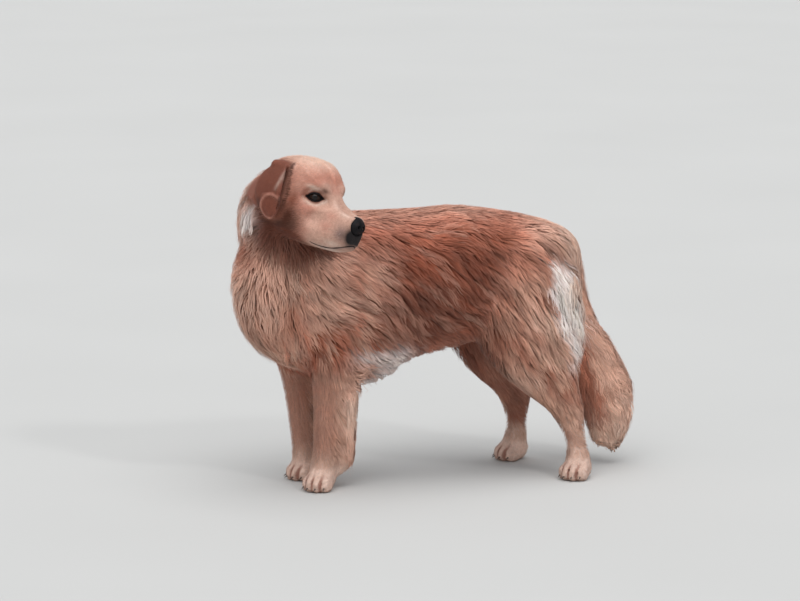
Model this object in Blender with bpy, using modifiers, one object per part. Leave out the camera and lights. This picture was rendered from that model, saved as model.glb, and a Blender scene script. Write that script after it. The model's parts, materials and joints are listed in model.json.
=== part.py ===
"""A golden retriever standing with its head turned back over its left shoulder.

The solids are the outside of the coat. The dog stands along X with its chest towards +X and its left
side towards +Y, on the floor at z = 0. It is modelled whole from lofts, fused and smoothed, and then
parted with thin cuts into the pieces that a person would name. The forms are stated with x = 0 and y = 0
between the shoulders and the hips, and at the end the dog is moved until its box is over the origin.
"""
import math

import bmesh
import bpy
from mathutils import Matrix, Vector

# Driving sizes, in metres.
WITHERS = 0.605            # height of the coat over the shoulder blades
STEP_FORWARD = 0.080       # how far the right hind foot stands in front of the left one
EYE_RADIUS = 0.0135
GAP = 0.0004               # left between two pieces that meet

# Grain of the solids.
RING_SIDES = 16            # points round a loft's section
SPAN_STEPS = 3             # sections from one stated section to the next
FUSE_VOXEL = 0.0048        # grain of the fused body before it is thinned out
BODY_TRIANGLES = 3300      # of the fused body after it is thinned out

# The head's own frame: its origin is midway between the eyes, x runs to the nose and z to the crown.
HEAD_PLACE = Vector((0.227, 0.170, 0.661))
HEAD_YAW = math.radians(124)       # turned to the left from straight ahead
HEAD_PITCH = math.radians(13.5)    # nose lowered
HEAD_ROLL = math.radians(-12)      # left cheek lowered
HEAD = (
    Matrix.Translation(HEAD_PLACE)
    @ Matrix.Rotation(HEAD_YAW, 4, "Z")
    @ Matrix.Rotation(HEAD_PITCH, 4, "Y")
    @ Matrix.Rotation(HEAD_ROLL, 4, "X")
)
HEAD_TURN = HEAD.to_3x3().to_4x4()
WORLD = Matrix.Identity(4)
Y_AXIS = Vector((0, 1, 0))
SIDES = {"left": 1, "right": -1}

COLOURS = {
    "coat": (0.52, 0.27, 0.13),
    "cream": (0.75, 0.60, 0.46),
    "ear": (0.42, 0.19, 0.09),
    "eye": (0.03, 0.015, 0.01),
    "nose": (0.02, 0.018, 0.02),
}


# ---- tools

def material(name, roughness=0.7):
    made = bpy.data.materials.get(name)
    if made is None:
        made = bpy.data.materials.new(name)
        made.use_nodes = True
        shader = made.node_tree.nodes["Principled BSDF"]
        shader.inputs["Base Color"].default_value = (*COLOURS[name], 1)
        shader.inputs["Roughness"].default_value = roughness
    return made


def object_of(name, mesh, collection):
    made = bpy.data.objects.new(name, mesh)
    collection.objects.link(made)
    return made


def between(rows, steps=SPAN_STEPS):
    """Rows of numbers with smooth rows added between them, as a Catmull-Rom curve runs through points."""
    made = []
    for i in range(len(rows) - 1):
        a, b = rows[i], rows[i + 1]
        before = rows[i - 1] if i > 0 else a
        after = rows[i + 2] if i + 2 < len(rows) else b
        for k in range(steps):
            t = k / steps
            made.append(tuple(
                0.5 * (2 * q + (r - p) * t + (2 * p - 5 * q + 4 * r - s) * t * t + (3 * q - p - 3 * r + s) * t ** 3)
                for p, q, r, s in zip(before, a, b, after)
            ))
    made.append(tuple(rows[-1]))
    return made


def ring(centre, side, rise, fall, fullness=2.3):
    """Points round a section: side is its half width as a vector, rise and fall its two half heights."""
    power = 2 / fullness
    points = []
    for i in range(RING_SIDES):
        angle = 2 * math.pi * i / RING_SIDES
        c, s = math.cos(angle), math.sin(angle)
        across = math.copysign(abs(c) ** power, c)
        along = math.copysign(abs(s) ** power, s)
        points.append(centre + side * across + (rise if s > 0 else fall) * abs(along))
    return points


def loft(name, rings, collection):
    """A closed body through rings of points, with a rounded point in the middle of each end."""
    body = bmesh.new()
    loops = [[body.verts.new(p) for p in points] for points in rings]
    for low, high in zip(loops, loops[1:]):
        for i in range(RING_SIDES):
            j = (i + 1) % RING_SIDES
            body.faces.new((low[i], low[j], high[j], high[i]))
    body.faces.new(loops[0])
    body.faces.new(loops[-1])
    bmesh.ops.triangulate(body, faces=body.faces)
    bmesh.ops.recalc_face_normals(body, faces=body.faces)
    mesh = bpy.data.meshes.new(name)
    body.to_mesh(mesh)
    body.free()
    return object_of(name, mesh, collection)


def upright_loft(name, rows, collection, matrix=WORLD, fullness=2.3):
    """A body along X.  Each row is x, top, bottom, half width, height of the widest place."""
    rings = []
    for x, top, bottom, half, widest in between(rows):
        centre = Vector((x, 0, widest))
        rise, fall = Vector((0, 0, top - widest)), Vector((0, 0, bottom - widest))
        points = ring(centre, Vector((0, half, 0)), rise, fall, fullness)
        rings.append([matrix @ p for p in points])
    return loft(name, rings, collection)


def level_loft(name, rows, collection, side=1):
    """A leg, sliced level.  Each row is z, front x, back x, middle y, half width.  side -1 is the right leg."""
    rings = []
    for z, front, back, middle, half in between(rows):
        centre = Vector(((front + back) / 2, side * middle, z))
        reach = Vector(((front - back) / 2, 0, 0))
        rings.append(ring(centre, Vector((0, half, 0)), reach, -reach))
    return loft(name, rings, collection)


def path_loft(name, rows, collection, steps=SPAN_STEPS):
    """A body along a bent path.  Each row is x, y, z, half width across, half depth."""
    rows = between(rows, steps)
    rings = []
    for i, (x, y, z, half, deep) in enumerate(rows):
        before, after = rows[max(i - 1, 0)], rows[min(i + 1, len(rows) - 1)]
        along = (Vector(after[:3]) - Vector(before[:3])).normalized()
        side = (Y_AXIS - along * Y_AXIS.dot(along)).normalized()
        up = along.cross(side)
        rings.append(ring(Vector((x, y, z)), side * half, up * deep, up * -deep))
    return loft(name, rings, collection)


def ball(name, centre, radii, collection, turn=WORLD, segments=16):
    body = bmesh.new()
    place = Matrix.Translation(centre) @ turn @ Matrix.Diagonal((*radii, 1))
    bmesh.ops.create_uvsphere(body, u_segments=segments, v_segments=segments * 3 // 4, radius=1, matrix=place)
    bmesh.ops.triangulate(body, faces=body.faces)
    mesh = bpy.data.meshes.new(name)
    body.to_mesh(mesh)
    body.free()
    return object_of(name, mesh, collection)


# ---- the dog's forms, before they are fused

def trunk_forms(forms):
    trunk = [
        # x, top, bottom, half width, height of the widest place
        (-0.405, 0.500, 0.430, 0.030, 0.470),
        (-0.392, 0.530, 0.392, 0.055, 0.465),
        (-0.360, 0.554, 0.360, 0.080, 0.460),
        (-0.300, 0.576, 0.335, 0.097, 0.460),
        (-0.220, 0.594, 0.312, 0.105, 0.455),
        (-0.120, 0.609, 0.290, 0.112, 0.450),
        (-0.030, 0.606, 0.272, 0.124, 0.440),
        (0.060, WITHERS, 0.238, 0.133, 0.430),
        (0.140, WITHERS, 0.240, 0.134, 0.425),
        (0.210, 0.592, 0.248, 0.128, 0.420),
        (0.280, 0.560, 0.265, 0.112, 0.420),
        (0.330, 0.530, 0.295, 0.088, 0.420),
        (0.362, 0.490, 0.335, 0.052, 0.420),
        (0.372, 0.460, 0.370, 0.022, 0.418),
    ]
    upright_loft("trunk_form", trunk, forms)
    ball("ruff_form", Vector((0.300, 0.026, 0.445)), (0.102, 0.100, 0.146), forms)
    ball("withers_form", Vector((0.160, 0.000, 0.520)), (0.110, 0.105, 0.088), forms)
    for name, side in SIDES.items():
        ball(f"shoulder_{name}_form", Vector((0.200, side * 0.084, 0.420)), (0.080, 0.056, 0.125), forms)
        ball(f"haunch_{name}_form", Vector((-0.285, side * 0.062, 0.480)), (0.095, 0.056, 0.090), forms)
        ball(f"breeches_{name}_form", Vector((-0.345, side * 0.056, 0.390)), (0.050, 0.048, 0.085), forms)
    ball("keel_fringe_form", Vector((0.098, 0.0, 0.266)), (0.086, 0.060, 0.053), forms)


def neck_form(forms):
    neck = [
        # x, y, z, half width, half depth
        (0.150, 0.000, 0.470, 0.106, 0.120),
        (0.225, 0.004, 0.518, 0.110, 0.115),
        (0.272, 0.018, 0.562, 0.118, 0.106),
        (0.292, 0.048, 0.608, 0.102, 0.094),
        (0.288, 0.085, 0.640, 0.086, 0.084),
        (0.262, 0.115, 0.652, 0.066, 0.070),
    ]
    path_loft("neck_form", neck, forms)


def head_forms(forms):
    head = [
        # x, top, bottom, half width, height of the widest place, all in the head's frame
        (-0.144, 0.026, -0.060, 0.030, -0.012),
        (-0.130, 0.048, -0.085, 0.056, -0.014),
        (-0.095, 0.067, -0.103, 0.070, -0.018),
        (-0.055, 0.075, -0.110, 0.074, -0.026),
        (-0.025, 0.072, -0.110, 0.073, -0.032),
        (0.000, 0.055, -0.110, 0.064, -0.042),
        (0.018, 0.031, -0.109, 0.053, -0.054),
        (0.034, 0.014, -0.107, 0.045, -0.058),
        (0.056, 0.005, -0.104, 0.040, -0.060),
        (0.080, -0.001, -0.099, 0.037, -0.056),
        (0.100, -0.006, -0.090, 0.032, -0.050),
        (0.110, -0.016, -0.078, 0.022, -0.046),
    ]
    skull = upright_loft("head_form", head, forms, HEAD, 3.0)
    for name, side in SIDES.items():
        hollow = ball("hollow", HEAD @ Vector((0.017, side * 0.060, -0.002)), (0.033, 0.029, 0.022), forms, HEAD_TURN)
        boolean(skull, hollow, "DIFFERENCE")
        bpy.data.objects.remove(hollow)
        ball(f"brow_{name}_form", HEAD @ Vector((0.002, side * 0.031, 0.025)), (0.021, 0.018, 0.014), forms, HEAD_TURN)
        ball(f"flew_{name}_form", HEAD @ Vector((0.052, side * 0.019, -0.068)), (0.046, 0.023, 0.028), forms, HEAD_TURN)


def foreleg_forms(forms):
    left = [
        # z, front x, back x, middle y, half width
        (0.400, 0.262, 0.120, 0.082, 0.048),
        (0.340, 0.258, 0.118, 0.078, 0.050),
        (0.290, 0.246, 0.124, 0.074, 0.046),
        (0.245, 0.232, 0.142, 0.068, 0.037),
        (0.195, 0.227, 0.158, 0.062, 0.031),
        (0.140, 0.226, 0.163, 0.060, 0.031),
        (0.090, 0.227, 0.167, 0.059, 0.031),
        (0.055, 0.231, 0.170, 0.058, 0.032),
        (0.010, 0.234, 0.176, 0.058, 0.033),
    ]
    right = [
        (0.400, 0.290, 0.140, 0.080, 0.048),
        (0.340, 0.290, 0.136, 0.078, 0.050),
        (0.290, 0.284, 0.144, 0.074, 0.046),
        (0.245, 0.270, 0.160, 0.068, 0.037),
        (0.195, 0.259, 0.176, 0.062, 0.031),
        (0.140, 0.251, 0.182, 0.060, 0.031),
        (0.090, 0.244, 0.182, 0.059, 0.031),
        (0.055, 0.241, 0.182, 0.058, 0.032),
        (0.010, 0.242, 0.184, 0.058, 0.033),
    ]
    for rows, (name, side) in zip((left, right), SIDES.items()):
        level_loft(f"foreleg_{name}_form", rows, forms, side)
        fringe = [(z, back + 0.020, back - 0.038, middle, 0.016) for z, front, back, middle, half in rows[2:8]]
        heel_z, heel_front, heel_back, middle, half = rows[8]
        fringe.append((heel_z + 0.018, heel_back + 0.020, heel_back - 0.018, middle, 0.012))
        level_loft(f"foreleg_{name}_fringe_form", fringe, forms, side)


def hindleg_forms(forms):
    left = [
        # z, front x, back x, middle y, half width
        (0.520, -0.200, -0.345, 0.060, 0.052),
        (0.460, -0.150, -0.380, 0.072, 0.056),
        (0.400, -0.130, -0.392, 0.080, 0.056),
        (0.340, -0.128, -0.395, 0.086, 0.053),
        (0.290, -0.148, -0.390, 0.091, 0.047),
        (0.240, -0.188, -0.380, 0.096, 0.040),
        (0.200, -0.238, -0.376, 0.100, 0.033),
        (0.160, -0.292, -0.386, 0.104, 0.027),
        (0.120, -0.324, -0.386, 0.107, 0.024),
        (0.080, -0.340, -0.391, 0.110, 0.024),
        (0.045, -0.343, -0.398, 0.113, 0.027),
        (0.010, -0.342, -0.402, 0.115, 0.029),
    ]
    right = []
    for z, front, back, middle, half in left:
        forward = STEP_FORWARD * (1 - min(max(z / 0.42, 0), 1))
        right.append((z, front + forward, back + forward, middle, half))
    level_loft("hindleg_left_form", left, forms)
    level_loft("hindleg_right_form", right, forms, -1)


def paw_forms(forms):
    paws = {
        # middle of the wrist or hock above the floor, and the way that the toes point from straight ahead
        "forepaw_left": (0.203, 0.058, 46),
        "forepaw_right": (0.204, -0.058, 26),
        "hindpaw_left": (-0.372, 0.115, 42),
        "hindpaw_right": (-0.302, -0.112, 18),
    }
    toes = [(-0.025, 0.026), (-0.0095, 0.038), (0.0095, 0.038), (0.025, 0.026)]
    for x, y, turn in paws.values():
        place = Matrix.Translation((x, y, 0)) @ Matrix.Rotation(math.radians(turn), 4, "Z")
        turned = place.to_3x3().to_4x4()
        ball("paw_form", place @ Vector((0.008, 0, 0.025)), (0.038, 0.032, 0.032), forms, turned)
        for across, reach in toes:
            ball("toe_form", place @ Vector((reach, across, 0.015)), (0.021, 0.0115, 0.0205), forms, turned)


def fused(forms):
    """All the forms as one smooth closed skin, thinned out to the triangles that it needs."""
    whole = bmesh.new()
    for form in list(forms.objects):
        whole.from_mesh(form.data)
        bpy.data.objects.remove(form)
    mesh = bpy.data.meshes.new("dog")
    whole.to_mesh(mesh)
    whole.free()
    dog = object_of("dog", mesh, forms)
    remesh = dog.modifiers.new("fuse", "REMESH")
    remesh.mode = "VOXEL"
    remesh.voxel_size = FUSE_VOXEL
    smooth = dog.modifiers.new("soften", "SMOOTH")
    smooth.factor = 0.5
    smooth.iterations = 8
    apply_modifiers(dog)
    thin = dog.modifiers.new("thin", "DECIMATE")
    thin.ratio = BODY_TRIANGLES / (2 * len(dog.data.polygons))
    apply_modifiers(dog)
    return dog


# ---- the pieces that are made on their own

def ear(name, side, parts):
    """A folded flap beside the cheek, given level by level in the head's frame."""
    levels = [
        # z, front x, back x, y, half thickness
        (0.054, -0.070, -0.096, 0.056, 0.005),
        (0.044, -0.062, -0.114, 0.062, 0.008),
        (0.020, -0.053, -0.134, 0.071, 0.010),
        (-0.010, -0.043, -0.143, 0.078, 0.011),
        (-0.040, -0.037, -0.136, 0.083, 0.011),
        (-0.062, -0.040, -0.114, 0.083, 0.011),
        (-0.078, -0.052, -0.090, 0.080, 0.008),
    ]
    rings = []
    for z, front, back, y, half in between(levels, 2):
        centre = Vector(((front + back) / 2, side * y, z))
        reach = Vector(((front - back) / 2, side * 0.010, 0))
        points = ring(centre, Vector((0, half, 0)), reach, -reach)
        rings.append([HEAD @ p for p in points])
    return loft(name, rings, parts)


def eye(name, side, parts):
    return ball(name, HEAD @ Vector((-0.003, side * 0.0325, -0.003)), (EYE_RADIUS,) * 3, parts, HEAD_TURN, 14)


def nose(parts):
    return ball("nose", HEAD @ Vector((0.104, 0, -0.027)), (0.017, 0.0205, 0.018), parts, HEAD_TURN, 14)


def tail(parts):
    path = [
        # x, y, z, half width, half depth
        (-0.345, 0.000, 0.520, 0.028, 0.030),
        (-0.378, 0.000, 0.480, 0.031, 0.034),
        (-0.390, 0.000, 0.425, 0.030, 0.031),
        (-0.398, 0.000, 0.370, 0.030, 0.034),
        (-0.415, 0.000, 0.310, 0.033, 0.042),
        (-0.440, 0.000, 0.250, 0.036, 0.054),
        (-0.468, 0.000, 0.190, 0.037, 0.063),
        (-0.482, 0.000, 0.130, 0.035, 0.063),
        (-0.478, 0.000, 0.080, 0.028, 0.050),
        (-0.468, 0.000, 0.045, 0.015, 0.028),
    ]
    return path_loft("tail", path, parts, 2)


# ---- parting the fused body

def apply_modifiers(obj):
    graph = bpy.context.evaluated_depsgraph_get()
    mesh = bpy.data.meshes.new_from_object(obj.evaluated_get(graph), preserve_all_data_layers=True, depsgraph=graph)
    obj.modifiers.clear()
    obj.data = mesh


def boolean(obj, cutter, operation):
    cut = obj.modifiers.new("cut", "BOOLEAN")
    cut.solver = "MANIFOLD"  # EXACT loses the thinned body at some of these cuts
    cut.operation = operation
    cut.object = cutter
    apply_modifiers(obj)


def grown(cutter, by):
    """A copy of a cutter, a little larger all round."""
    mesh = cutter.data.copy()
    body = bmesh.new()
    body.from_mesh(mesh)
    body.normal_update()
    for vertex, normal in [(v, v.normal.copy()) for v in body.verts]:
        vertex.co += normal * by
    body.to_mesh(mesh)
    body.free()
    return object_of("grown_cutter", mesh, cutter.users_collection[0])


def hull(name, points, collection, matrix=WORLD):
    body = bmesh.new()
    for point in points:
        body.verts.new(matrix @ Vector(point))
    bmesh.ops.convex_hull(body, input=body.verts)
    bmesh.ops.recalc_face_normals(body, faces=body.faces)
    mesh = bpy.data.meshes.new(name)
    body.to_mesh(mesh)
    body.free()
    return object_of(name, mesh, collection)


def largest_piece(obj):
    """Drops the crumbs that a cut may leave beside the piece that is wanted."""
    body = bmesh.new()
    body.from_mesh(obj.data)
    body.faces.ensure_lookup_table()
    groups, seen = [], set()
    for start in body.faces:
        if start in seen:
            continue
        group, edge_of_it = [], [start]
        seen.add(start)
        while edge_of_it:
            face = edge_of_it.pop()
            group.append(face)
            for edge in face.edges:
                for other in edge.link_faces:
                    if other not in seen:
                        seen.add(other)
                        edge_of_it.append(other)
        groups.append(group)
    groups.sort(key=len)
    for group in groups[:-1]:
        bmesh.ops.delete(body, geom=group, context="FACES")
    bmesh.ops.triangulate(body, faces=body.faces)
    body.to_mesh(obj.data)
    body.free()


def make_room(body, piece, by=GAP):
    """Cuts the place of a piece, and the gap round it, out of the body that it sits in."""
    cutter = grown(piece, by)
    boolean(body, cutter, "DIFFERENCE")
    bpy.data.objects.remove(cutter)


def part_off(name, body, region, parts):
    """What lies in the region becomes a piece of its own, and the body loses it and the gap beside it."""
    piece = object_of(name, body.data.copy(), parts)
    boolean(piece, region, "INTERSECT")
    make_room(body, region, 2 * GAP)
    bpy.data.objects.remove(region)
    return piece


def regions(cutters):
    """The places of the pieces, each a convex block, in the order in which they are parted off."""
    blocks = {
        "lower_jaw": hull("jaw_block", [
            (x, y, z)
            for x, top in ((0.030, -0.0935), (0.125, -0.0790))
            for y in (-0.08, 0.08)
            for z in (top, -0.14)
        ], cutters, HEAD),
        "head": hull("head_block", [
            (x, y, z)
            for x, right, left, low in ((-0.100, -0.10, 0.082, -0.100), (0.125, -0.06, 0.060, -0.120))
            for y in (right, left)
            for z in (low, 0.12)
        ], cutters, HEAD),
        "neck": hull("neck_block", [
            (x, y, z)
            for x, z in ((0.120, 0.664), (0.420, 0.400), (0.120, 0.90), (0.60, 0.90), (0.60, 0.400))
            for y in (-0.3, 0.4)
        ], cutters),
    }
    for name, side in SIDES.items():
        blocks[f"foreleg_{name}"] = hull("foreleg_block", [
            (x, side * y, z)
            for x in (0.108, 0.45)
            for y, z in ((0.001, -0.1), (0.30, -0.1), (0.001, 0.225), (0.30, 0.490))
        ], cutters)
        blocks[f"hindleg_{name}"] = hull("hindleg_block", [
            (x, side * y, z)
            for x, y, z in (
                (-0.02, 0.001, -0.1), (-0.02, 0.3, -0.1), (-0.6, 0.001, -0.1), (-0.6, 0.3, -0.1),
                (-0.13, 0.001, 0.300), (-0.6, 0.001, 0.300), (-0.22, 0.3, 0.740), (-0.6, 0.3, 0.740),
            )
        ], cutters)
    return blocks


def stand_over_origin(pieces):
    """Moves the dog so that the middle of its box is over the origin.  The floor stays at z = 0."""
    corners = [vertex.co for piece in pieces for vertex in piece.data.vertices]
    middle = [(min(c[i] for c in corners) + max(c[i] for c in corners)) / 2 for i in (0, 1)]
    move = Matrix.Translation((-middle[0], -middle[1], 0))
    for piece in pieces:
        piece.data.transform(move)


def main():
    for old in list(bpy.data.objects):
        bpy.data.objects.remove(old)
    forms = bpy.data.collections.new("forms")
    cutters = bpy.data.collections.new("cutters")
    parts = bpy.data.collections.new("golden_retriever")
    for collection in (forms, cutters, parts):
        bpy.context.scene.collection.children.link(collection)

    trunk_forms(forms)
    neck_form(forms)
    head_forms(forms)
    foreleg_forms(forms)
    hindleg_forms(forms)
    paw_forms(forms)
    dog = fused(forms)
    floor = hull("floor", [(x, y, z) for x in (-1, 1) for y in (-1, 1) for z in (-0.2, 0)], cutters)
    boolean(dog, floor, "DIFFERENCE")
    bpy.data.objects.remove(floor)

    pieces = {"tail": tail(parts), "nose": nose(parts)}
    for name, side in SIDES.items():
        pieces[f"ear_{name}"] = ear(f"ear_{name}", side, parts)
        pieces[f"eye_{name}"] = eye(f"eye_{name}", side, parts)
    for piece in pieces.values():
        make_room(dog, piece)
    for name, region in regions(cutters).items():
        pieces[name] = part_off(name, dog, region, parts)
    for leg, paw in (("foreleg", "forepaw"), ("hindleg", "hindpaw")):
        for side in SIDES:
            block = hull("paw_block", [(x, y, z) for x in (-1, 1) for y in (-1, 1) for z in (-0.2, 0.062)], cutters)
            pieces[f"{paw}_{side}"] = part_off(f"{paw}_{side}", pieces[f"{leg}_{side}"], block, parts)
    dog.name = "trunk"
    parts.objects.link(dog)
    forms.objects.unlink(dog)
    pieces["trunk"] = dog

    for name, piece in pieces.items():
        largest_piece(piece)
        kind = name.split("_")[0]
        finish = {"ear": "ear", "eye": "eye", "nose": "nose"}.get(kind, "cream" if "paw" in kind else "coat")
        piece.data.materials.clear()
        piece.data.materials.append(material(finish, 0.15 if kind == "eye" else 0.7))
        print(name, len(piece.data.polygons))
    stand_over_origin(pieces.values())
    print("triangles", sum(len(piece.data.polygons) for piece in pieces.values()))


main()
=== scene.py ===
import json
import math

import bmesh
import bpy
import numpy as np
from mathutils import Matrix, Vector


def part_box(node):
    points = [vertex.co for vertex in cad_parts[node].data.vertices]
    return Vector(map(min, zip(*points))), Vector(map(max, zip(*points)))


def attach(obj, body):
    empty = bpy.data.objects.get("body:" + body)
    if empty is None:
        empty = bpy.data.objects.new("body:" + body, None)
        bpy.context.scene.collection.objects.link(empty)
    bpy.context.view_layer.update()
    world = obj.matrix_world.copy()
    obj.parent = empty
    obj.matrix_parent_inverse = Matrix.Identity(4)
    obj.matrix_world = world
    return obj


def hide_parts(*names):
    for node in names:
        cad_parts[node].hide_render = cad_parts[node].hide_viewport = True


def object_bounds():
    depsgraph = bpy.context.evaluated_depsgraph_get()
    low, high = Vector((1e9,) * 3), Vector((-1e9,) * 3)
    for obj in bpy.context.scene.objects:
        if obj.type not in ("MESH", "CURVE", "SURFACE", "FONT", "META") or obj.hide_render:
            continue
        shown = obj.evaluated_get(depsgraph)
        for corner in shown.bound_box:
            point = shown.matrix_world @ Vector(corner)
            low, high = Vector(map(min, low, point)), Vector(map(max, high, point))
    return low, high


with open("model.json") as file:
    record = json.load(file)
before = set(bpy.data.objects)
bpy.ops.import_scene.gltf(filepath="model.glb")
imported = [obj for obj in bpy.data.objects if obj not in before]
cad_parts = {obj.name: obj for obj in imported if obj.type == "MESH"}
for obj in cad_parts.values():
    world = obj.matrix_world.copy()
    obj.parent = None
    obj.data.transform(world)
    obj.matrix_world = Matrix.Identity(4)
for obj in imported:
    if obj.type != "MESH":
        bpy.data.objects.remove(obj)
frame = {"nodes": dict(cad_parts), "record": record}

import openvdb
from mathutils import Matrix, Vector, kdtree
from mathutils.bvhtree import BVHTree

nodes = frame["nodes"]
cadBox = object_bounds()


def ramp(value, start, end):
    t = np.clip((value - start) / (end - start), 0, 1)
    return t * t * (3 - 2 * t)


def mix(a, b, t):
    return a + (b - a) * t


def unit(v):
    return v / np.maximum(np.linalg.norm(v, axis=-1, keepdims=True), 1e-9)


def dot(a, b):
    return (a * b).sum(-1, keepdims=True)


def readOut(items, key, width, kind=np.float32):
    values = np.empty(len(items) * width, kind)
    items.foreach_get(key, values)
    return values.reshape(-1, width)


def cellOf(place):
    return tuple(int(i) for i in place)


latticeTable = np.random.default_rng(11).uniform(-1, 1, 8192)


def drift(points, size, seed=0):
    # smooth value noise from -1 to 1, with blobs about as large as size
    q = points / size + seed * 17.31
    cell = np.floor(q).astype(np.int64)
    t = q - cell
    t = t * t * (3 - 2 * t)
    total = 0
    for corner in range(8):
        bit = np.array([corner & 1, corner >> 1 & 1, corner >> 2 & 1])
        c = cell + bit
        key = (c[:, 0] * 73856093 ^ c[:, 1] * 19349663 ^ c[:, 2] * 83492791) % 8192
        total = total + latticeTable[key] * np.prod(np.where(bit, t, 1 - t), axis=1)
    return total


# the head's own frame: x to the nose, y to the dog's left, z to the crown
headPose = dict(yaw=124, pitch=13.5, roll=-12, eyeBack=-0.003, eyeDrop=-0.003)
headTurn = Matrix.Identity(3)
for axis, turn in (("Z", "yaw"), ("Y", "pitch"), ("X", "roll")):
    headTurn = headTurn @ Matrix.Rotation(math.radians(headPose[turn]), 3, axis)
headAxes = np.array(headTurn)


def middleOf(node):
    low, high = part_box(node)
    return np.array((low + high) / 2)


eyeMiddle = (middleOf("eye_left") + middleOf("eye_right")) / 2
headOrigin = eyeMiddle - headAxes @ np.array([headPose["eyeBack"], 0, headPose["eyeDrop"]])
trunkLow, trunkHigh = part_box("trunk")
midline = (trunkLow.y + trunkHigh.y) / 2


def toHead(p):
    return (p - headOrigin) @ headAxes


def fromHead(h):
    return headOrigin + np.asarray(h) @ headAxes.T


# distance fields of the coat's outside, and of the skin under it
fieldGrain = dict(fuse=0.0025, close=0.001, body=0.005, head=0.0022)


class Field:
    def __init__(self, values, low, step):
        self.values = values
        self.low = np.asarray(low, float)
        self.step = step
        self.packed = None

    def look(self, points):
        # value and slope at each point, blended from the eight corners of its cell
        if self.packed is None:
            slopes = np.gradient(self.values, self.step)
            self.packed = np.stack([self.values, *slopes], -1).astype(np.float32)
            self.corners = self.packed.reshape(-1, 4)
        size = np.array(self.values.shape)
        q = np.clip((points - self.low) / self.step, 0, size - 1.001)
        i = q.astype(np.int64)
        t = (q - i).astype(np.float32)
        stride = np.array([size[1] * size[2], size[2], 1])
        first = i @ stride
        total = 0
        for corner in range(8):
            bit = np.array([corner >> 2 & 1, corner >> 1 & 1, corner & 1])
            weight = np.where(bit, t, 1 - t).prod(1)
            total = total + self.corners[first + bit @ stride] * weight[:, None]
        return total


def solidOf(names):
    points, faces, count = [], [], 0
    for name in names:
        mesh = nodes[name].data
        mesh.calc_loop_triangles()
        points.append(readOut(mesh.vertices, "co", 3))
        faces.append(readOut(mesh.loop_triangles, "vertices", 3, np.int32) + count)
        count += len(mesh.vertices)
    return np.vstack(points), np.vstack(faces).astype(np.uint32)


def surfaceOf(grid, level=0.0):
    points, _, quads = grid.convertToPolygons(isovalue=level, adaptivity=0.0)
    return points, quads


def gridAround(shape, step, outer, inner):
    # shape is its points, and its faces as arrays of four corners, or of three
    sides = {"quads" if shape[1].shape[1] == 4 else "triangles": shape[1]}
    scale = openvdb.createLinearTransform(voxelSize=step)
    return openvdb.FloatGrid.createLevelSetFromPolygons(
        shape[0], **sides, transform=scale, exBandWidth=float(outer), inBandWidth=float(inner)
    )


def gridFrom(values, step, background, first=(0, 0, 0)):
    grid = openvdb.FloatGrid()
    grid.background = background
    grid.transform = openvdb.createLinearTransform(voxelSize=step)
    grid.copyFromArray(np.ascontiguousarray(values, np.float32), ijk=cellOf(first))
    return grid


def fused(names):
    # the named solids as one closed surface, a hair larger, so that the cuts between them close up
    return surfaceOf(gridAround(solidOf(names), fieldGrain["fuse"], 3, 3), fieldGrain["close"])


def fieldOf(grid, step, low, high):
    first = np.floor(np.array(low) / step).astype(int)
    size = np.ceil(np.array(high) / step).astype(int) - first
    values = np.zeros(size, np.float32)
    grid.copyToArray(values, ijk=cellOf(first))
    return Field(values + fieldGrain["close"], first * step, step)


def soften(values, passes, axes=(0, 1, 2)):
    for _ in range(passes):
        for axis in axes:
            v = np.moveaxis(values, axis, 0)
            v[1:-1] = 0.25 * v[:-2] + 0.5 * v[1:-1] + 0.25 * v[2:]
    return values


def lattice(low, size, step):
    axes = [low[i] + np.arange(size[i]) * step for i in range(3)]
    return np.meshgrid(*axes, indexing="ij", sparse=True)


def latticeOf(field):
    return lattice(field.low, field.values.shape, field.step)


def headLattice(x, y, z):
    parts = [x - headOrigin[0], y - headOrigin[1], z - headOrigin[2]]
    return [sum(parts[i] * headAxes[i, k] for i in range(3)) for k in range(3)]


everyNode = sorted(nodes)
bareNodes = [n for n in everyNode if not n.startswith("ear_") and n != "tail"]
coatShape = fused(everyNode)
bareShape = fused(bareNodes)
earShape = fused(["ear_left", "ear_right"])
lowCorner = np.array(cadBox[0]) - 0.04
highCorner = np.array(cadBox[1]) + 0.04
coarse = fieldGrain["body"]
coatField = fieldOf(gridAround(coatShape, coarse, 8, 20), coarse, lowCorner, highCorner)
soften(coatField.values, 2)
bareField = fieldOf(gridAround(bareShape, coarse, 6, 30), coarse, lowCorner, highCorner)
print("fields: the solids fused,", len(coatShape[1]), "faces")

# how deep the skin lies under the coat's outside
depthStyle = dict(
    trunkHeights=[0.22, 0.3, 0.42, 0.54, 0.61],
    trunkDepths=[0.026, 0.02, 0.014, 0.01, 0.008],
    chest=0.024, ruff=0.021, breeches=0.026, legs=0.005, feather=0.03, legDeep=0.062, paws=0.0022,
    headPlaces=[-0.15, -0.11, -0.06, -0.02, 0.03, 0.08, 0.11],
    headDepths=[0.015, 0.009, 0.005, 0.004, 0.003, 0.002, 0.0015],
    throat=0.018, ears=0.0042, flap=0.0048, least=0.0015,
    headroom=1.15, spare=0.0005,  # the coat's outside is at least this far above the skin
)


def frontOf(node):
    # the leg's front edge at each height of the body's grid
    low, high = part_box(node)
    x, y, _ = latticeOf(coatField)
    inside = (coatField.values < 0) & (y > low.y) & (y < high.y) & (x > low.x - 0.02) & (x < high.x)
    return np.where(inside, x, -9).max(axis=(0, 1))


legFronts = {side: frontOf("foreleg_" + side) for side in ("left", "right")}
levels = latticeOf(coatField)[2].ravel()


def legFrontAt(y, z):
    left, right = (np.interp(z, levels, legFronts[side]) for side in ("left", "right"))
    return np.where(y > midline, left, right)


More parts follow.
